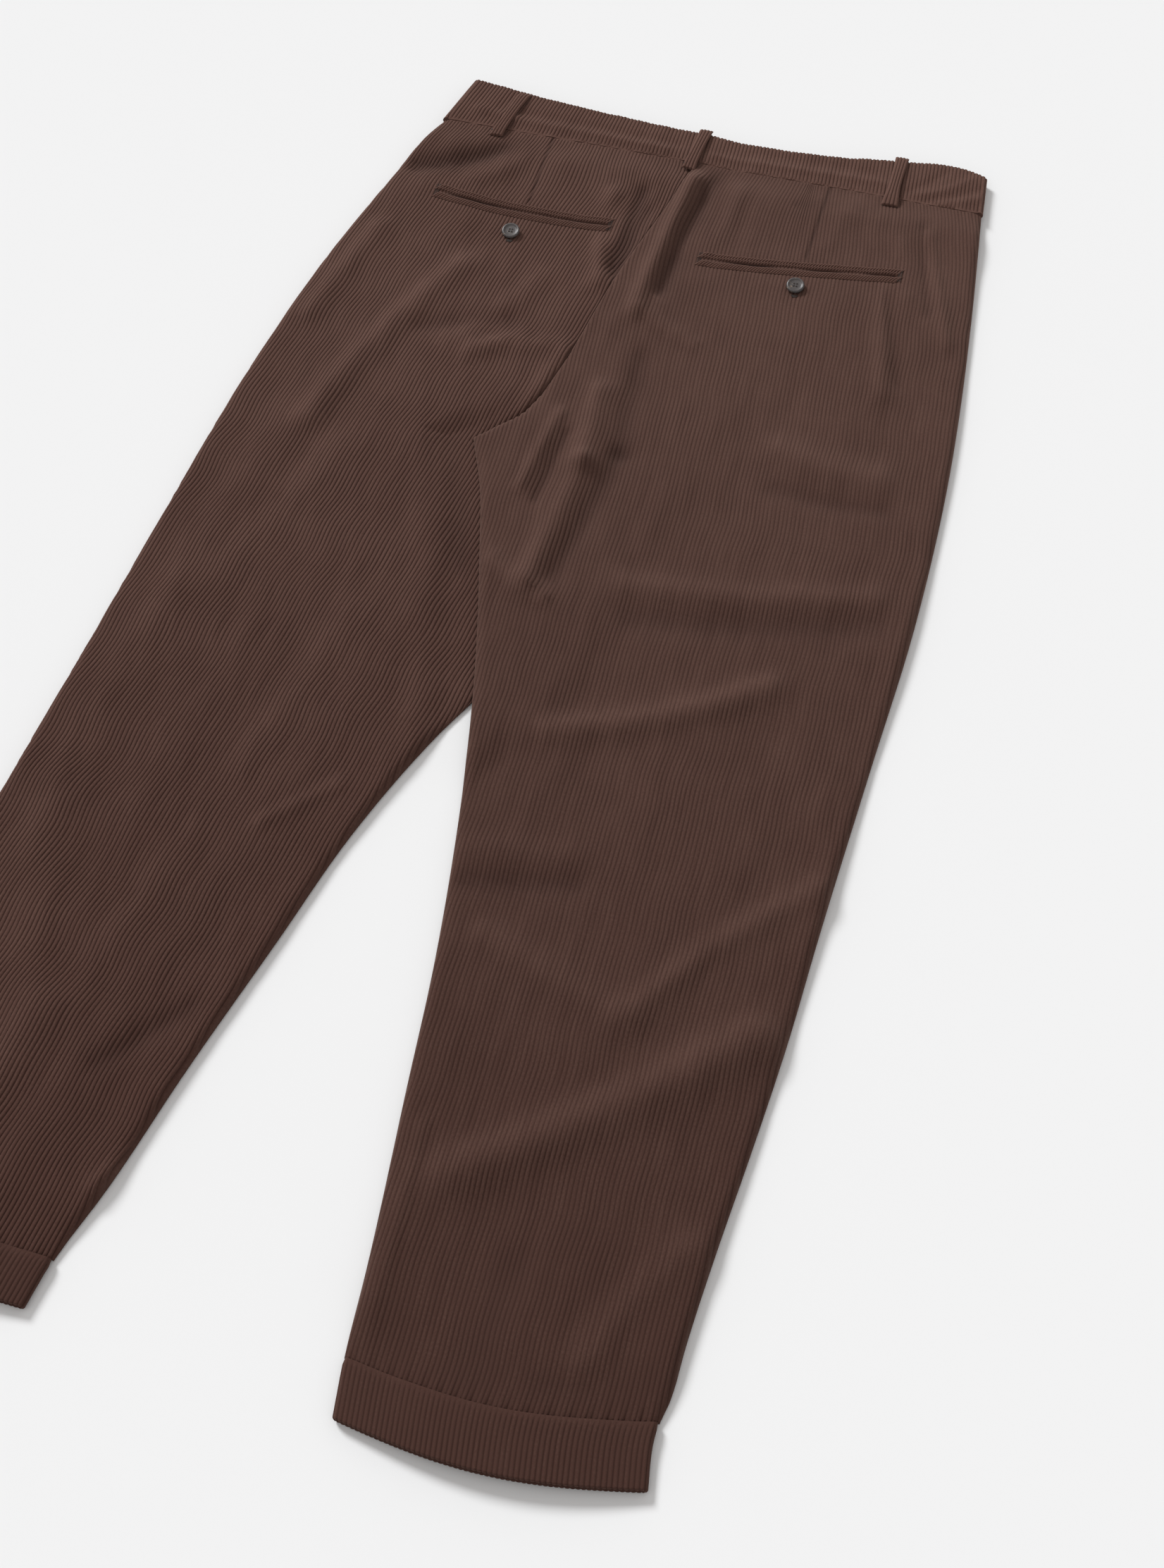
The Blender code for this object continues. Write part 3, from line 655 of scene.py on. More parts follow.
def back_panel(side):
    """A back panel, with its creases, its dart and the slot of its pocket."""
    panel = Panel(side, SEAT_SEAM, 6.8)
    s, wale = panel.on_wales(FINE_PHASES)
    x, y = panel.at(s)
    inner_gap, outer_gap = s * panel.width, (1 - s) * panel.width
    z = back_height(side, x, y, s, inner_gap, outer_gap)
    outer = np.stack([x, y, z], axis=-1)
    rough = Panel(side, SEAT_SEAM, 8.5)
    inset = CLOTH / rough.width
    inner_s = inset + (1 - 2 * inset) * np.linspace(0.0, 1.0, 34)[None, :]
    ix, iy = rough.at(inner_s)
    gaps = inner_s * rough.width, (1 - inner_s) * rough.width
    iz = back_height(side, ix, iy, inner_s, *gaps, CLOTH)
    for step_x, step_y in ((1, 0), (-1, 0), (0, 1), (0, -1)):
        near_x, near_y = ix + INNER_REACH * step_x, iy + INNER_REACH * step_y
        iz = np.minimum(iz, back_height(side, near_x, near_y, inner_s, *gaps) - CLOTH)
    iz = np.maximum(iz, floor_height(ix, iy, side, inner_s) + CLOTH + INNER_CLEAR)
    inner = np.stack([ix, iy, iz], axis=-1)
    rim = quarter_round(np.minimum(inner_gap, outer_gap), 1.2) * fade(y, WAIST_SEAM - 0.2, WAIST_SEAM - 1.5)
    under = fade(x, inner_x(y, "right", SEAT_SEAM) + 2.0, inner_x(y, "right", SEAT_SEAM) + 8.0)
    pile = rim * (1 - under * pressed(x, y)) if side == "left" else rim
    # Painted shade in the creases' troughs and painted highlight on their ridges, from the creases' heights
    crease_shade = np.clip(-0.055 * fold_height(CREASES[side], x, y), -0.20, 0.30)
    # The shade attribute: the crease shade plus painted shade in the pocket's slot and along the dart's seam
    shade = np.clip(crease_shade + slot_depth(side, x, y) + 0.3 * dart_depth(side, x, y).clip(0), -0.2, 1.0)
    return cloth_shell(f"back_{side}_cloth", outer, inner, wale / PITCH, pile, shade)


def front_panel(side):
    """A front panel, flat on the surface with its edges turned up."""
    panel = Panel(side, FRONT_SEAM, 13.0)
    s, wale = panel.on_wales(PLAIN_PHASES)
    x, y = panel.at(s)
    edge_gap = np.minimum(s, 1 - s) * panel.width
    z = floor_height(x, y, side, s) + 0.9 * (1 - quarter_round(edge_gap, 3.0))
    outer = np.stack([x, y, z], axis=-1)
    rough = Panel(side, FRONT_SEAM, 16.0)
    inner_s = np.linspace(0.0, 1.0, 24)[None, :]
    ix, iy = rough.at(inner_s + 0 * rough.y0)
    iz = floor_height(ix, iy, side, inner_s) + CLOTH
    inner = np.stack([ix, iy, iz], axis=-1)
    pile = quarter_round(edge_gap, 1.5)
    return cloth_shell(f"front_{side}_cloth", outer, inner, wale / PITCH, pile, 0 * pile)


# ------------------------------------------------------------------ hems, waistband and trims

def hem_ring(side, length_share, inset_end, around, inset):
    """Points round a hem's tube at a share down its length."""
    inset = inset + inset_end
    top_in, top_out = (line - SEAM_GAP for line in HEM_TOP[side])
    end_in, end_out = HEM_END[side]
    y0, y1 = blend(top_in, end_in, length_share), blend(top_out, end_out, length_share)
    x0, x1 = inner_x(y0, side, SEAT_SEAM), along(SIDE[side], y1)
    width = np.hypot(x1 - x0, y1 - y0)
    radius = DOUBLE_CLOTH + 0.3 * HEM_GAP
    flat, turn = width - 2 * radius, math.pi * radius
    p = around * 2 * (flat + turn)
    angle_out = np.clip((p - flat) / radius, 0.0, math.pi)
    angle_in = np.clip((p - 2 * flat - turn) / radius, 0.0, math.pi)
    back = radius + p
    front = width - radius - (p - flat - turn)
    reach = (radius - inset)
    out = width - radius + reach * np.sin(angle_out)
    into = radius - reach * np.sin(angle_in)
    beneath = np.where(p < 2 * flat + turn, front, into)
    place = np.where(p < flat, back, np.where(p < flat + turn, out, beneath))
    level = np.where(p < flat + turn, (1 + np.cos(angle_out)) / 2, (1 - np.cos(angle_in)) / 2)
    s = np.clip(place / width, 0.0, 1.0)
    open_height = HEM_GAP * (0.6 + 0.4 * np.sin(math.pi * s))
    x = blend(x0, x1, place / width)
    y = blend(y0, y1, place / width) - HEM_BULGE[side] * np.sin(math.pi * s)
    lift = HEM_LIFT * np.sin(math.pi * s)
    stack = 2 * DOUBLE_CLOTH + open_height
    ripple = 0.35 * np.sin(place / 9.0 + 2.2 * np.sin(place / 31.0)) * (1 - length_share)
    z = lift + inset + level * (stack + ripple - 2 * inset)
    return np.stack([x, y, z], axis=-1)


def hem(side):
    """A turned-up leg end: double cloth all round the leg."""
    length = abs(HEM_END[side][0] - HEM_TOP[side][0])
    places, turned = end_rows(length, 3.6, False, True, DOUBLE_CLOTH / 2)
    perimeter = 2 * abs(float(along(SIDE[side], HEM_TOP[side][1]))
                        - float(inner_x(np.array(HEM_TOP[side][0]), side, SEAT_SEAM))) + 2.0
    count = round(perimeter / PITCH)
    wales = np.array([n + f for n in range(count) for f in FINE_PHASES])
    share = (places / length)[:, None]
    fold = 0.9 * (1 - quarter_round(places, 2.5))[:, None]
    outer = hem_ring(side, share, turned[:, None] + fold, (wales / count)[None, :], 0.0)
    rough = np.linspace(0.0, 1.0 - DOUBLE_CLOTH / 2 / length, 5)[:, None]
    inner = hem_ring(side, rough, 0.0, np.linspace(0.0, 1.0, 150, endpoint=False)[None, :], DOUBLE_CLOTH)
    wale = np.broadcast_to(wales[None, :], outer.shape[:2])
    pile = np.broadcast_to(quarter_round(places, 1.5)[:, None], outer.shape[:2])
    return cloth_shell(f"hem_{side}_cloth", outer, inner, wale, pile, 0 * pile, closed=True)


def band_path(side, level, around, out):
    """A point of the waistband: level 0 at its seam and 1 at its top, out from its middle."""
    sign = 1 if side == "right" else -1
    end = blend(*BAND_END[side], level) - sign * DOUBLE_CLOTH / 2
    back_start = float(along(SEAT_SEAM, WAIST_SEAM)) + sign * GAP / 2
    front_start = CLOSURE + sign * GAP / 2
    back_z = band_height(side, end - sign * 24)
    radius = (back_z - BAND_FRONT_Z) / 2
    flat_end = end - sign * radius
    front, turn, back = np.abs(flat_end - front_start), math.pi * radius, np.abs(flat_end - back_start)
    p = around * (front + turn + back)
    angle = np.clip((p - front) / radius, 0.0, math.pi)
    x_turn = flat_end + sign * (radius + out) * np.sin(angle)
    x = np.where(p < front, front_start + sign * p,
                 np.where(p < front + turn, x_turn, flat_end - sign * (p - front - turn)))
    top = blend(back_z, band_height(side, x), fade(np.abs(x - flat_end), 0.0, 26.0))
    z_turn = (back_z + BAND_FRONT_Z) / 2 - (radius + out) * np.cos(angle)
    z = np.where(p < front, BAND_FRONT_Z - out, np.where(p < front + turn, z_turn, top + out))
    on_back = p >= front + turn
    return x, z, on_back


BAND_RIPPLES = ((168, -52, 206, -24, 3, 4.0, 0.7), (176, -56, 214, -34, 2, 4.0, -0.6),
                (158, -50, 184, -22, 2, 4.0, -0.5), (184, -56, 217, -44, 2, 4.0, 0.6),
                (-200, -42, -168, -46, 0, 4.0, 0.9), (-166, -48, -40, -52, 0, 3.6, 0.8),
                (-160, -38, -30, -43, 0, 4.0, -0.5), (0, -50, 140, -46, 0, 3.4, 0.6),
                (-190, -50, -176, -22, 0, 5.0, -0.5), (30, -38, 130, -36, 0, 5.0, -0.4))


def waistband(side):
    """Half of the waistband, from the closure round the side to the centre back."""
    height = BAND_HEIGHT
    places, turned = end_rows(height, 2.6, False, True, DOUBLE_CLOTH / 2)
    level = (places / height)[:, None]
    count = round((2 * 215 if side == "right" else 2 * 220) / PITCH)
    wales = np.array([n + f for n in range(count) for f in FINE_PHASES] + [float(count)])
    around = (wales / count)[None, :]
    half = DOUBLE_CLOTH / 2
    x, z, on_back = band_path(side, level, around, half - turned[:, None])
    bottom = WAIST_SEAM + SEAM_GAP
    scallop = 0.5 * (np.abs(np.sin(x * math.pi / PITCH / 2)) - 0.6) * level**6
    y = blend(bottom, along(BAND_TOP, x), level) + scallop
    seam = 0.5 * (1 - quarter_round(places, 2.2))[:, None]
    wave = 1.4 * fold_height(BAND_RIPPLES, x, y) + 0.8 * waves(x, y, 12, 14.0, 46.0, 10, 0.9)
    wave = wave + 0.1 * pucker(x, y, bottom, 4.0, 5.0) - seam - 0.7 * (1 - fade(level, 0.0, 0.3))
    z = z + np.where(on_back, wave * (1 - turned[:, None] / half), 0.0)
    outer = np.stack([x, y, z], axis=-1)
    rough = np.linspace(0.0, 1.0 - half / height, 6)[:, None]
    ix, iz, back = band_path(side, rough, np.linspace(0.0, 1.0, 130)[None, :], -half)
    iy = blend(bottom, along(BAND_TOP, ix), rough)
    iz = iz + np.where(back, fold_height(BAND_RIPPLES, ix, iy), 0.0)
    inner = np.stack([ix, iy, iz], axis=-1)
    wale = np.broadcast_to(wales[None, :], x.shape)
    ends = quarter_round(np.minimum(places, height + 1 - places), 1.2)
    pile = np.broadcast_to(ends[:, None], x.shape)
    return cloth_shell(f"waistband_{side}_cloth", outer, inner, wale, pile, 0 * pile)


def band_top_height(x):
    """The top of the waistband on the back."""
    side = "right" if x > along(SEAT_SEAM, WAIST_SEAM) else "left"
    return float(band_height(side, np.array(x))) + DOUBLE_CLOTH / 2


def strip_ring(half_width, half_thick, lengthwise):
    """A flat rounded section: places across and up, with each column's wale and its pile."""
    steps = 4 if lengthwise else 3
    if lengthwise:
        top = np.array([n + f for n in range(steps) for f in FINE_PHASES][1:]) / steps * 2 - 1
    else:
        top = np.linspace(-1, 1, 15)[1:-1]
    across = np.concatenate([[-1.0], top, [1.0], np.linspace(1, -1, 9)[1:-1]])
    upper = np.arange(len(across)) <= len(top)
    rise = np.sqrt(1 - np.abs(across) ** 5)
    up = np.where(upper, 1.0, -1.0) * rise
    wale = (across + 1) / 2 * steps
    return across * half_width, up * half_thick, wale, np.where(upper, rise, 0.0)


def belt_loop(name, ends, on_back):
    """A belt loop: a strip along its length, folded under at its bottom and over at its top."""
    top_x, bottom_x, proud = ends
    half, thick = LOOP_WIDTH / 2, LOOP_THICK / 2
    across, up, wale, pile = strip_ring(half, thick, True)
    top_y = float(along(BAND_TOP, top_x)) + proud
    length = top_y - LOOP_BOTTOM
    places, turned = end_rows(length, 1.8, True, True, thick)
    f = (places / length)[:, None]
    narrow = 1 - 0.12 * np.sin(math.pi * f) if on_back else 1.0 + 0 * f
    if name == "right" and on_back:
        narrow = narrow + 0.22 * (1 - fade(f, 0.0, 0.35))
    x = blend(bottom_x, top_x, f) + across[None, :] * narrow + 0 * f
    tilt = {"left": 0.10, "centre": -0.18, "right": 0.04}[name] if on_back else 0.0
    y = LOOP_BOTTOM + places[:, None] + tilt * across[None, :] * (1 - f)
    if on_back:
        level = band_top_height(top_x) + GAP + thick
        drop = 0.9 * (1 - fade(y, LOOP_BOTTOM, WAIST_SEAM - 2))
        over = 2.4 * (1 - quarter_round(top_y - y, 7.0)) if name == "left" else 0.6 * fade(f, 0.93, 1.0)
        level = level + 1.1 * np.sin(math.pi * f) ** 0.7 - drop - over
        shape = thick - turned[:, None]
        z = level + up[None, :] * shape
        crown = 0.5 * (1 - (across / half) ** 2)[None, :] * (up > 0)[None, :]
        z = z + crown * (shape / thick)
    else:
        z = thick - up[None, :] * (thick - turned[:, None])
    rings = np.stack([x + 0 * z, y + 0 * z, z], axis=-1)
    shape = rings.shape[:2]
    where = "back" if on_back else "front"
    return strip(f"belt_loop_{where}_{name}_cloth", rings, np.broadcast_to(wale, shape) + 0.0,
                 np.broadcast_to(pile, shape) + 0.0, np.zeros(shape))


def welt(side, upper):
    """A pocket welt: a narrow padded strip along the slot, its wales crossing it."""
    x0, _, x1, _, _ = POCKETS[side]
    count = round((x1 - x0) / WELT_PITCH)
    wales = np.array([n + f for n in range(count) for f in FINE_PHASES] + [float(count)])
    f = (wales / count)[:, None]
    end = np.minimum(f, 1 - f) * (x1 - x0)
    full = quarter_round(end, 4.0) * 0.88 + 0.12
    across, up, _, pile = strip_ring(WELT / 2 - GAP / 4, 1.0, False)
    sign = 1 if upper else -1
    gape = 0.45 * np.sin(math.pi * np.clip((f - 0.02) / (0.62 if side == "right" else 0.8), 0, 1)) ** 0.8
    middle = sign * (WELT / 2 + GAP / 4)
    inner_edge = np.clip(-across * sign / (WELT / 2), 0, 1)[None, :]
    off = middle + across[None, :] + sign * gape * inner_edge * (0.7 if upper else 1.2)
    slant = 0.75 * across[None, :]
    x = blend(x0, x1, f) + slant
    y = slot_y(side, x) + off
    base = back_top(x, y) + GAP * 0.6
    turns = np.abs(np.sin(math.pi * (across[None, :] / WELT + 0.5) * (2 if upper else 1)))
    rope = (0.42 + 0.58 * turns) * (1 + 0.12 * np.sin(f * 43.0 + 1.3 * np.sin(f * 17.0)))
    high = np.where(up > 0, up * WELT_THICK * rope * full, 0.2 * up)
    rings = np.stack([x, y, base + high], axis=-1)
    shape = rings.shape[:2]
    name = f"welt_{'upper' if upper else 'lower'}_{side}_cloth"
    # Shade attribute: painted shade on the welt's inner edge, beside the slot
    return strip(name, rings, np.broadcast_to(wales[:, None], shape) + 0.0,
                 np.broadcast_to(pile, shape) * np.broadcast_to(full, shape),
                 0.35 * inner_edge**6 * np.ones(shape))


def fly_flap():
    """The flap behind the closed fly, round at its lower end."""
    wales = PITCH * np.array([n + f for n in range(13) for f in PLAIN_PHASES] + [13.0])
    length = WAIST_SEAM - GAP - FLY_END
    y = (FLY_END + length * np.linspace(0.0, 1.0, 60) ** 1.4)[:, None]
    into = np.maximum(FLY_END + FLY_CURVE - y, 0.0) / FLY_CURVE
    width = np.maximum(FLY_WIDTH * np.sqrt(np.maximum(1 - into**2, 0.0)), 4.0)
    edge = along(FRONT_SEAM, y) + 3.0
    gap = np.minimum(wales[None, :], width)
    rim = np.minimum(gap, width - gap)
    x = edge - gap
    outer = np.stack([x, y + 0 * x, 0.35 * (1 - quarter_round(rim, 1.2))], axis=-1)
    share = np.linspace(0.0, 1.0, 5)[None, :]
    ix = edge - width * share
    inner = np.stack([ix, y + 0 * ix, FLY_THICK + 0 * ix], axis=-1)
    pile = quarter_round(rim, 1.2)
    return cloth_shell("fly_flap_cloth", outer, inner, gap / PITCH, pile, 0 * pile)


# ------------------------------------------------------------------ node trees

class Value:
    """One socket of a node tree, with arithmetic that adds Math nodes."""

    def __init__(self, graph, socket):
        self.graph, self.socket = graph, socket

    def math(self, operation, *others):
        inputs = dict(enumerate((self, *others)))
        return self.graph.add("ShaderNodeMath", {"operation": operation}, inputs)

    def __add__(self, other):
        return self.math("ADD", other)

    def __mul__(self, other):
        return self.math("MULTIPLY", other)

    def __sub__(self, other):
        return self.math("SUBTRACT", other)

    def __rsub__(self, other):
        return self.graph.add("ShaderNodeMath", {"operation": "SUBTRACT"}, {0: other, 1: self})

    def __pow__(self, other):
        return self.math("POWER", other)

    def __abs__(self):
        return self.math("ABSOLUTE")

    __radd__ = __add__
    __rmul__ = __mul__

    def fraction(self):
        return self.math("FRACT")

    def clamped(self):
        return self.math("MINIMUM", 1.0).math("MAXIMUM", 0.0)


class Graph:
    """A node tree and the one way of adding a node to it."""

    def __init__(self, tree):
        self.tree = tree

    def add(self, kind, settings=None, inputs=None, output=0):
        node = self.tree.nodes.new(kind)
        for key, value in (settings or {}).items():
            setattr(node, key, value)
        for key, value in (inputs or {}).items():
            if isinstance(value, Value):
                self.tree.links.new(value.socket, node.inputs[key])
            elif value is not None:
                node.inputs[key].default_value = value
        return Value(self, node.outputs[output])

    def mix(self, factor, a, b):
        """A colour between two colours."""
        return self.add("ShaderNodeMix", {"data_type": "RGBA"}, {0: factor, 6: a, 7: b}, 2)

    def noise(self, vector, scale, detail=2.0, roughness=0.5):
        inputs = {"Vector": vector, "Scale": scale, "Detail": detail, "Roughness": roughness}
        return self.add("ShaderNodeTexNoise", None, inputs)


def stretched(graph, vector, factors):
    """A place scaled by its own factor along each axis."""
    return graph.add("ShaderNodeVectorMath", {"operation": "MULTIPLY"}, {0: vector, 1: factors})


def new_tree(name, inputs):
    """A Geometry Nodes tree with a geometry input, named inputs and a geometry output."""
    tree = bpy.data.node_groups.new(name, "GeometryNodeTree")
    tree.interface.new_socket(name="Geometry", in_out="INPUT", socket_type="NodeSocketGeometry")
    for label, kind, value in inputs:
        socket = tree.interface.new_socket(name=label, in_out="INPUT", socket_type=kind)
        if value is not None:
            socket.default_value = value
    tree.interface.new_socket(name="Geometry", in_out="OUTPUT", socket_type="NodeSocketGeometry")
    graph = Graph(tree)
    entry = tree.nodes.new("NodeGroupInput")
    sockets = {socket.name: Value(graph, socket) for socket in entry.outputs if socket.name}
    return graph, sockets


def close_tree(graph, shape, material):
    """Realises the instances, sets the material and ends the tree."""
    real = graph.add("GeometryNodeRealizeInstances", None, {0: shape})
    done = graph.add("GeometryNodeSetMaterial", None, {"Geometry": real, "Material": material})
    leave = graph.tree.nodes.new("NodeGroupOutput")
    graph.tree.links.new(done.socket, leave.inputs[0])
    return graph.tree


def ribs_tree():
    """Carves the grooves between the wales into a piece's outer face."""
    graph, given = new_tree("ribs", (
        ("Groove depth", "NodeSocketFloat", GROOVE["leg"] * MM),
        ("Rib fullness", "NodeSocketFloat", GROOVE_POWER),
        ("Unevenness", "NodeSocketFloat", 0.25), ("Seed", "NodeSocketFloat", 3.0),
        ("Cloth finish", "NodeSocketMaterial", None)))
    wale = graph.add("GeometryNodeInputNamedAttribute", {"data_type": "FLOAT"}, {"Name": "wale"})
    pile = graph.add("GeometryNodeInputNamedAttribute", {"data_type": "FLOAT"}, {"Name": "pile"})
    place = graph.add("GeometryNodeInputPosition")
    off = abs(wale.fraction() * 2 - 1)
    groove = off ** given["Rib fullness"]
    noise = graph.add("ShaderNodeTexNoise", {"noise_dimensions": "4D"},
                      {"Vector": place, "W": given["Seed"], "Scale": 240.0, "Detail": 1.0})
    worn = (noise - 0.5) * given["Unevenness"]
    depth = (groove + worn * (1 - groove)).math("MAXIMUM", 0.0) * pile * given["Groove depth"] * -1.0
    normal = graph.add("GeometryNodeInputNormal")
    offset = graph.add("ShaderNodeVectorMath", {"operation": "SCALE"}, {0: normal, "Scale": depth})
    carved = graph.add("GeometryNodeSetPosition", None, {"Geometry": given["Geometry"], "Offset": offset})
    return close_tree(graph, carved, given["Cloth finish"])


def stitches_tree():
    """Lays short rounded stitches along the edges of a wire mesh."""
    graph, given = new_tree("stitches", (
        ("Stitch length", "NodeSocketFloat", 2.2 * MM), ("Thread radius", "NodeSocketFloat", 0.3 * MM),
        ("Spacing", "NodeSocketFloat", 2.9 * MM), ("Thread finish", "NodeSocketMaterial", None)))
    line = graph.add("GeometryNodeMeshToCurve", None, {"Mesh": given["Geometry"]})
    spots = graph.add("GeometryNodeResampleCurve", {"mode": "LENGTH"},
                      {"Curve": line, "Length": given["Spacing"]})
    grain = graph.add("GeometryNodeMeshUVSphere", None,
                      {"Segments": 6, "Rings": 5, "Radius": given["Thread radius"]})
    longer = given["Stitch length"].math("DIVIDE", given["Thread radius"] * 2)
    size = graph.add("ShaderNodeCombineXYZ", None, {"X": 1.0, "Y": 1.0, "Z": longer})
    tangent = graph.add("GeometryNodeInputTangent")
    turn = graph.add("FunctionNodeAlignRotationToVector", {"axis": "Z"}, {"Vector": tangent})
    rows = graph.add("GeometryNodeInstanceOnPoints", None,
                     {"Points": spots, "Instance": grain, "Rotation": turn, "Scale": size})
    return close_tree(graph, rows, given["Thread finish"])


def run_tree(piece, tree, settings):
    """Runs a tree on a piece, and leaves the result as the piece's plain mesh."""
    modifier = piece.modifiers.new(tree.name, "NODES")
    modifier.node_group = tree
    for item in tree.interface.items_tree:
        if item.in_out == "INPUT" and item.name in settings:
            modifier[item.identifier] = settings[item.name]
    graph = bpy.context.evaluated_depsgraph_get()
    made = bpy.data.meshes.new_from_object(piece.evaluated_get(graph))
    piece.modifiers.clear()
    old = piece.data
    piece.data = made
    made.name = piece.name
    bpy.data.meshes.remove(old)
    made.shade_smooth()
    made.set_sharp_from_angle(angle=math.radians(75))
    return piece


# ------------------------------------------------------------------ finishes

def new_finish(name):
    """A material, its graph and its shader."""
    material = bpy.data.materials.new(name)
    material.use_nodes = True
    graph = Graph(material.node_tree)
    shader = material.node_tree.nodes["Principled BSDF"]
    return material, graph, shader


def attribute(graph, name):
    """A value that the mesh gives at each point."""
    return graph.add("ShaderNodeAttribute", {"attribute_name": name}, None, "Fac")


RIB_LIGHT = (0.112, 0.0605, 0.0470, 1.0)
RIB_DARK = (0.056, 0.0258, 0.0195, 1.0)
# Painted shade: the dark colour drawn into the grooves between the wales
GROOVE_SHADE_COLOUR = (0.028, 0.0112, 0.0080, 1.0)
# Painted shade: the near-black colour mixed in by the shade attribute in the pocket slots, beside the welts,
# along the darts and in the crease troughs
PAINTED_SHADE_COLOUR = (0.006, 0.004, 0.004, 1.0)
SHEEN_TINT = (0.62, 0.42, 0.34, 1.0)
THREAD_COLOUR = (0.050, 0.036, 0.030)
HORN_DARK = (0.024, 0.020, 0.020, 1.0)
HORN_PALE = (0.082, 0.068, 0.064, 1.0)
HORN_FLECK = (0.26, 0.18, 0.12, 1.0)

# How much lighter each kind of piece is painted: lit copies of one corduroy, brighter where a piece catches
# more light
FINISHES = {
    "leg": ("corduroy_leg", 1.0), "left_leg": ("corduroy_left_leg", 1.12),
    "hem": ("corduroy_hem_end", 1.02), "band": ("corduroy_band", 1.22),
}


def corduroy(name, light):
    """Brown corduroy: soft ribs of cut pile with painted shade in the grooves between them, a little paler
    where it is worn, with painted shade and highlight from the shade attribute and a painted brightness for
    each kind of piece.
    """
    material, graph, shader = new_finish(name)
    place = graph.add("ShaderNodeTexCoord", None, None, "Object")
    cloth = graph.add("ShaderNodeUVMap", {"uv_map": "cloth"})
    wale, pile, shade = (attribute(graph, key) for key in ("wale", "pile", "shade"))
    off = abs(wale.fraction() * 2 - 1)
    wear = (graph.noise(place, 34.0, 3.0) - 0.3) * 2.4
    rib = 1 - (off ** 2.2) * pile * (wear.clamped() * 0.46 + 0.38)
    patches = graph.noise(place, 11.0, 3.0)
    streaks = graph.noise(stretched(graph, cloth, (420.0, 26.0, 1.0)), 1.0, 2.0)
    tufts = graph.noise(stretched(graph, cloth, (900.0, 620.0, 1.0)), 1.0, 2.0, 0.6)
    length = graph.add("ShaderNodeSeparateXYZ", None, {0: place}, "Y")
    # Lighter towards the waist and darker towards the hems
    toward_waist = graph.add("ShaderNodeMapRange", None, {"Value": length, 1: -0.55, 2: 0.40, 3: -0.46, 4: 0.12})
    # The shade attribute darkens the tone where shade is painted and lightens it where a highlight is painted
    # on the ridges
    tone = patches * 0.34 + streaks * 0.58 + tufts * 0.7 + toward_waist - shade * 0.9 - 0.39
    # light scales the rib colours: the painted brightness of this kind of piece
    raised = graph.mix(tone.clamped(), tuple(c * light for c in RIB_DARK[:3]) + (1.0,),
                       tuple(c * light for c in RIB_LIGHT[:3]) + (1.0,))
    mottled = (rib * (0.86 + tufts * 0.28)).clamped()
    # Painted shade in the grooves between the wales, wherever rib falls below 1
    cloth_colour = graph.mix(mottled, GROOVE_SHADE_COLOUR, raised)
    # Painted shade: towards the painted shade colour wherever the shade attribute is above 0
    colour = graph.mix(shade.clamped(), cloth_colour, PAINTED_SHADE_COLOUR)
    fine = graph.noise(stretched(graph, cloth, (2400.0, 1500.0, 1.0)), 1.0, 2.0, 0.7)
    bump = graph.add("ShaderNodeBump", None, {"Strength": 0.35, "Distance": 0.0004, "Height": fine})
    graph.tree.links.new(colour.socket, shader.inputs["Base Color"])
    graph.tree.links.new(bump.socket, shader.inputs["Normal"])
    shader.inputs["Roughness"].default_value = 0.95
    shader.inputs["Specular IOR Level"].default_value = 0.15
    shader.inputs["Sheen Weight"].default_value = 0.22
    shader.inputs["Sheen Roughness"].default_value = 0.45
    shader.inputs["Sheen Tint"].default_value = SHEEN_TINT
    return material


def thread(name, colour):
    """Twisted sewing thread."""
    material, graph, shader = new_finish(name)
    place = graph.add("ShaderNodeTexCoord", None, None, "Object")
    twist = graph.noise(place, 1600.0, 2.0)
    dark = tuple(c * 0.55 for c in colour) + (1.0,)
    tone = graph.mix(twist, dark, (*colour, 1.0))
    bump = graph.add("ShaderNodeBump", None, {"Strength": 0.4, "Distance": 0.0001, "Height": twist})
    graph.tree.links.new(tone.socket, shader.inputs["Base Color"])
    graph.tree.links.new(bump.socket, shader.inputs["Normal"])
    shader.inputs["Roughness"].default_value = 0.75
    return material


def horn(name):
    """Polished horn: grey brown with pale flecks and a clear, glossy face."""
    material, graph, shader = new_finish(name)
    place = graph.add("ShaderNodeTexCoord", None, None, "Object")
    grain = graph.noise(stretched(graph, place, (180.0, 60.0, 90.0)), 1.0, 4.0, 0.6)
    flecks = graph.noise(place, 420.0, 3.0, 0.65)
    body = graph.mix(grain, HORN_DARK, HORN_PALE)
    bright = ((flecks - 0.60) * 9).clamped()
    colour = graph.mix(bright, body, HORN_FLECK)
    rough = graph.add("ShaderNodeMapRange", None, {"Value": grain, 1: 0.3, 2: 0.7, 3: 0.34, 4: 0.5})
    graph.tree.links.new(colour.socket, shader.inputs["Base Color"])
    graph.tree.links.new(rough.socket, shader.inputs["Roughness"])
    shader.inputs["Coat Weight"].default_value = 0.25
    shader.inputs["Coat Roughness"].default_value = 0.3
    return material


# ------------------------------------------------------------------ buttons and stitches

def turned(name, profile, centre, sides, upside_down=False):
    """A closed turned shape from (radius, height) points that start and end on its axis."""
    radii, heights = np.array(profile[1:-1]).T
    if upside_down:
        heights = -heights
    angles = np.linspace(0, 2 * math.pi, sides, endpoint=False)[None, :]
    x = centre[0] + radii[:, None] * np.cos(angles)
    y = centre[1] + radii[:, None] * np.sin(angles)
    z = centre[2] + heights[:, None] + 0 * angles
    rings = np.stack([x, y, z], axis=-1)
    flat = np.zeros(rings.shape[:2])
    return strip(name, rings, flat, flat, flat)


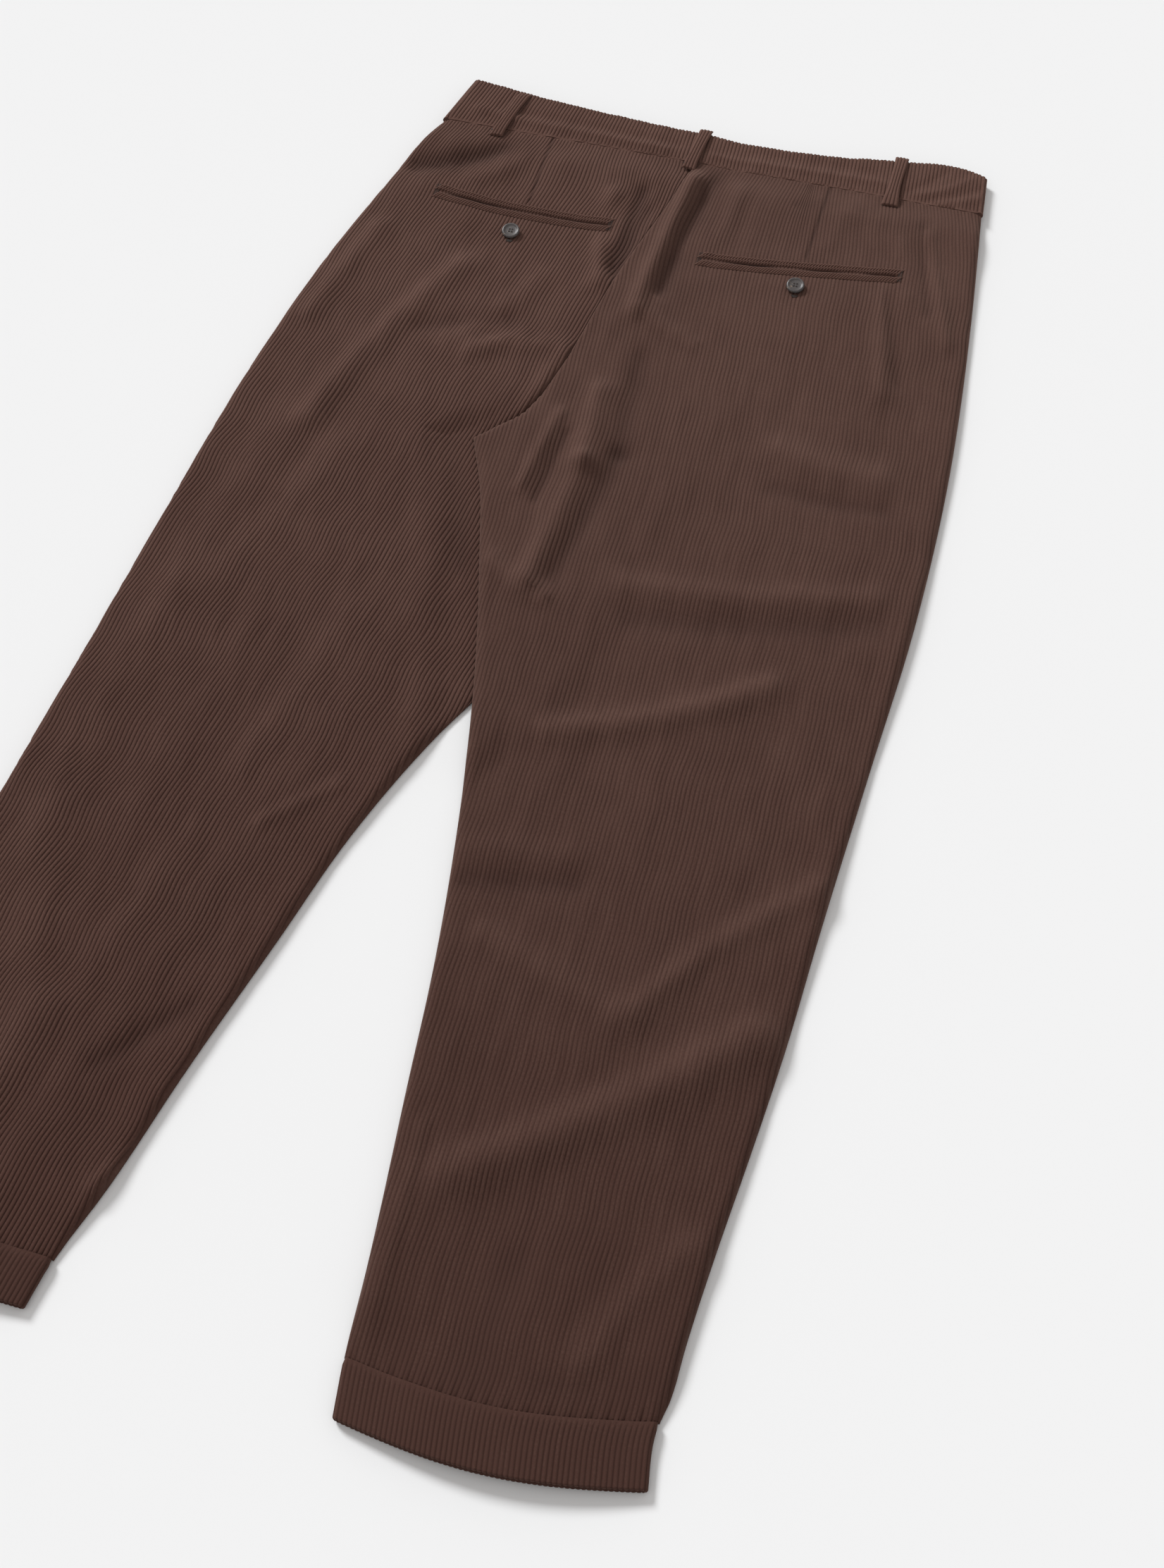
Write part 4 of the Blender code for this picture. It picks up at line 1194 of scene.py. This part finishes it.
def button(name, centre, thick, finish, tilt=0.0, upside_down=False):
    """A horn button with a raised rim, a dished middle and four thread holes, tilted on its thread."""
    profile = [(out * BUTTON_RADIUS, up * thick) for out, up in BUTTON_PROFILE]
    body = turned(name, profile, centre, 72, upside_down)
    cutters = []
    for k in range(4):
        angle = math.pi / 4 + k * math.pi / 2
        spot = (centre[0] + BUTTON_HOLE_SPREAD * math.cos(angle),
                centre[1] + BUTTON_HOLE_SPREAD * math.sin(angle), centre[2] - 5)
        pin = [(0.0, 0.0), (BUTTON_HOLE, 0.0), (BUTTON_HOLE, 10.0), (0.0, 10.0)]
        cutters.append(turned(f"{name}_hole_{k}", pin, spot, 16))
        hole = body.modifiers.new("hole", "BOOLEAN")
        hole.operation = "DIFFERENCE"
        hole.object = cutters[-1]
    graph = bpy.context.evaluated_depsgraph_get()
    made = bpy.data.meshes.new_from_object(body.evaluated_get(graph))
    body.modifiers.clear()
    body.data = made
    for cutter in cutters:
        bpy.data.objects.remove(cutter, do_unlink=True)
    middle = float(place_on_base((*centre[:2], 0.0))[1])
    for vertex in made.vertices:
        vertex.co.z += tilt * (vertex.co.y - middle)
    made.shade_smooth()
    made.set_sharp_from_angle(angle=math.radians(40))
    made.materials.clear()
    made.materials.append(finish)
    return body


def wire(name, lines):
    """Stitching lines, each a list of points, as one mesh of edges."""
    points, edges = [], []
    for line in lines:
        start = len(points)
        points += [tuple(place_on_base(p)) for p in line]
        edges += [(start + i, start + i + 1) for i in range(len(line) - 1)]
    mesh = bpy.data.meshes.new(name)
    mesh.from_pydata(points, edges, [])
    piece = bpy.data.objects.new(name, mesh)
    bpy.context.scene.collection.objects.link(piece)
    return piece


def stitched(name, lines, tree, finish, length=2.2, radius=0.3, spacing=2.9):
    """Thread laid along lines, as one piece of short stitches."""
    settings = {"Stitch length": length * MM, "Thread radius": radius * MM, "Spacing": spacing * MM,
                "Thread finish": finish}
    return run_tree(wire(name, lines), tree, settings)


def on_back(x, y, above):
    """A point at a height above the back's outer face."""
    return (x, y, float(np.ravel(back_top(np.array([x]), np.array([y])))[0]) + above)


def buttonhole_lines(side):
    """The close stitches round the end of a buttonhole that shows under its button."""
    x, y = BUTTON_POCKET[side]
    lines = []
    for k in range(9):
        angle = math.pi * (1.12 + 0.76 * k / 8)
        near, far = 1.1, 2.6
        cx, cy = x + 1.0, y - BUTTON_RADIUS - 0.2
        a = (cx + near * math.cos(angle), cy + near * math.sin(angle))
        b = (cx + far * math.cos(angle), cy + far * math.sin(angle))
        lines.append([on_back(*a, 0.35), on_back(*b, 0.25)])
    return lines


def bar_tack(x, y, width, height, above, slant=0.0, count=9):
    """Close parallel stitches across a short bar."""
    lines = []
    for k in range(count):
        f = k / (count - 1) - 0.5
        cx, cy = x + slant * f, y + height * f
        lines.append([(cx - width / 2, cy - 0.2, above), (cx + width / 2, cy + 0.2, above)])
    return lines


# ------------------------------------------------------------------ the garment

def dress(piece, node=None):
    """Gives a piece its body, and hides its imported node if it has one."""
    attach(piece, "root")
    if node:
        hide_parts(node)


def build_cloth(finishes, ribs):
    """Every piece of corduroy, carved with its wales, by the name of its node."""
    pieces = {}
    for side in ("right", "left"):
        pieces[f"back_{side}"] = back_panel(side)
        pieces[f"front_{side}"] = front_panel(side)
        pieces[f"hem_{side}"] = hem(side)
        pieces[f"waistband_{side}"] = waistband(side)
        pieces[f"welt_upper_{side}"] = welt(side, True)
        pieces[f"welt_lower_{side}"] = welt(side, False)
    for name, ends in LOOPS_BACK.items():
        pieces[f"belt_loop_back_{name}"] = belt_loop(name, ends, True)
    for name, ends in LOOPS_FRONT.items():
        pieces[f"belt_loop_front_{name}"] = belt_loop(name, ends, False)
    pieces["fly_flap"] = fly_flap()
    for node, piece in pieces.items():
        kind = "hem" if node.startswith("hem") else "leg"
        if node.startswith(("waistband", "welt", "belt_loop")):
            kind = "band"
        if node in ("back_left", "front_left"):
            kind = "left_leg"
        depth = GROOVE[kind]
        settings = {"Groove depth": depth * MM, "Rib fullness": GROOVE_POWER, "Unevenness": 0.3,
                    "Seed": 3.0, "Cloth finish": finishes[kind]}
        dress(run_tree(piece, ribs, settings), node)
    return pieces


def build_buttons(finish, tree, sewing):
    """The pocket buttons with their thread and buttonholes, and the hidden waist button."""
    for side, (x, y) in BUTTON_POCKET.items():
        _, _, base = on_back(x, y, BUTTON_GAP + BUTTON_RAISED)
        body = button(f"pocket_button_{side}_horn", (x, y, base), BUTTON_THICK, finish, BUTTON_TILT)
        dress(body, f"pocket_button_{side}")
        d = BUTTON_HOLE_SPREAD * math.cos(math.pi / 4)
        level = base + BUTTON_THICK * BUTTON_DISH
        lines = [[(x - d, y + s * d, level), (x + d, y + s * d, level)] for s in (1, -1) for _ in (0, 1)]
        lines = [[(a[0], a[1] + 0.22 * (k % 2), a[2]), (b[0], b[1] - 0.22 * (k % 2), b[2])]
                 for k, (a, b) in enumerate(lines)]
        sewn = stitched(f"pocket_button_{side}_thread", lines, tree, sewing, 1.5, 0.28, 1.1)
        hole = stitched(f"buttonhole_{side}", buttonhole_lines(side), tree, sewing, 1.0, 0.26, 0.75)
        dress(sewn)
        dress(hole)
    x, y = WAIST_BUTTON
    body = button("waist_button_horn", (x, y, WAIST_BUTTON_THICK), WAIST_BUTTON_THICK, finish, 0.0, True)
    dress(body, "waist_button")


def build_stitching(tree, sewing):
    """Bar tacks on the loops and at the pockets' ends, and the fly's curved seam."""
    rows = {}
    for name, (top_x, bottom_x, _) in LOOPS_BACK.items():
        level = band_top_height(top_x) + GAP + LOOP_THICK
        rows[f"loop_tack_{name}"] = bar_tack(bottom_x, LOOP_BOTTOM + 5.0, LOOP_WIDTH - 2.5, 0.9,
                                             level - 0.45, 0.0, 3)
    for side, (x0, _, x1, _, _) in POCKETS.items():
        for end, x in (("inner", min(x0, x1, key=abs)), ("outer", max(x0, x1, key=abs))):
            lines = []
            for k in range(-5, 6):
                spot = float(slot_y(side, np.array(x))) + k * 1.15
                lines.append([on_back(x - 0.9, spot - 0.15, 0.5), on_back(x + 0.9, spot + 0.15, 0.5)])
            rows[f"pocket_tack_{side}_{end}"] = lines
    for name, lines in rows.items():
        dress(stitched(name, lines, tree, sewing, 1.3, 0.28, 1.0))
    curve = []
    for k in range(30):
        y = -70 - k * 5.0
        into = max(-196.0 - y, 0.0) / 30.0
        width = 32.0 * math.sqrt(max(1 - into**2, 0.0))
        edge = float(along(FRONT_SEAM, y))
        s, _, _ = share_at("left", np.array([edge - width]), np.array([y]), FRONT_SEAM)
        z = float(floor_height(np.array([edge - width]), np.array([y]), "left", s)[0])
        curve.append((edge - width, y, z + 0.1))
    dress(stitched("fly_stitching", [curve], tree, sewing, 2.2, 0.25, 2.9))


# ------------------------------------------------------------------ the surface, light and camera

SURFACE_SIZE = 9.0
SURFACE_TONES = (0.798, 0.802)
ROOM_COLOUR = (1.0, 0.980, 0.968, 1.0)
ROOM_STRENGTH = 0.543
# Lamps: strength, softness in degrees, the way the light goes, and tint
LAMPS = {
    "window": (2.86, 17.0, (0.84, -0.66, -0.74), (0.980, 1.0, 1.016)),
    "ceiling": (0.22, 70.0, (0.1, 0.3, -1.0), (1.0, 1.0, 1.0)),
}
LENS = 50.97
SENSOR = 36.0
CAMERA_AT = (0.30239, -0.86600, 1.25117)
CAMERA_AHEAD = (-0.13422945, 0.52026274, -0.84339145)


def build_floor():
    """The pale surface that the garment lies on."""
    bpy.ops.mesh.primitive_plane_add(size=SURFACE_SIZE, location=(0.0, 0.0, -0.0002))
    floor = bpy.context.object
    floor.name = "floor"
    material, graph, shader = new_finish("pale_surface")
    place = graph.add("ShaderNodeTexCoord", None, None, "Object")
    faint = graph.noise(place, 3.0)
    colour = graph.mix(faint, *((tone, tone, tone, 1.0) for tone in SURFACE_TONES))
    graph.tree.links.new(colour.socket, shader.inputs["Base Color"])
    shader.inputs["Roughness"].default_value = 1.0
    shader.inputs["Specular IOR Level"].default_value = 0.0
    floor.data.materials.append(material)


def build_light():
    """A bright soft room, with one broad window from the upper left."""
    world = bpy.data.worlds.new("soft_room")
    bpy.context.scene.world = world
    world.use_nodes = True
    background = world.node_tree.nodes["Background"]
    background.inputs["Color"].default_value = ROOM_COLOUR
    background.inputs["Strength"].default_value = ROOM_STRENGTH
    for name, (strength, softness, towards, tint) in LAMPS.items():
        lamp = bpy.data.lights.new(name, "SUN")
        lamp.energy = strength
        lamp.color = tint
        lamp.angle = math.radians(softness)
        holder = bpy.data.objects.new(name, lamp)
        holder.rotation_euler = Vector(towards).to_track_quat("-Z", "Y").to_euler()
        bpy.context.scene.collection.objects.link(holder)


def build_camera():
    """The camera, above the hems and a little to the right."""
    lens = bpy.data.cameras.new("camera")
    lens.lens = LENS
    lens.sensor_width = SENSOR
    lens.clip_end = 20.0
    holder = bpy.data.objects.new("camera", lens)
    holder.location = CAMERA_AT
    holder.rotation_euler = Vector(CAMERA_AHEAD).to_track_quat("-Z", "Y").to_euler()
    bpy.context.scene.collection.objects.link(holder)
    bpy.context.scene.camera = holder


def main():
    bpy.context.scene.view_settings.view_transform = "Standard"
    build_camera()
    build_light()
    build_floor()
    finishes = {kind: corduroy(name, light) for kind, (name, light) in FINISHES.items()}
    sewing = thread("brown_thread", THREAD_COLOUR)
    polished = horn("polished_horn")
    stitches = stitches_tree()
    pieces = build_cloth(finishes, ribs_tree())
    build_buttons(polished, stitches, sewing)
    build_stitching(stitches, sewing)


main()
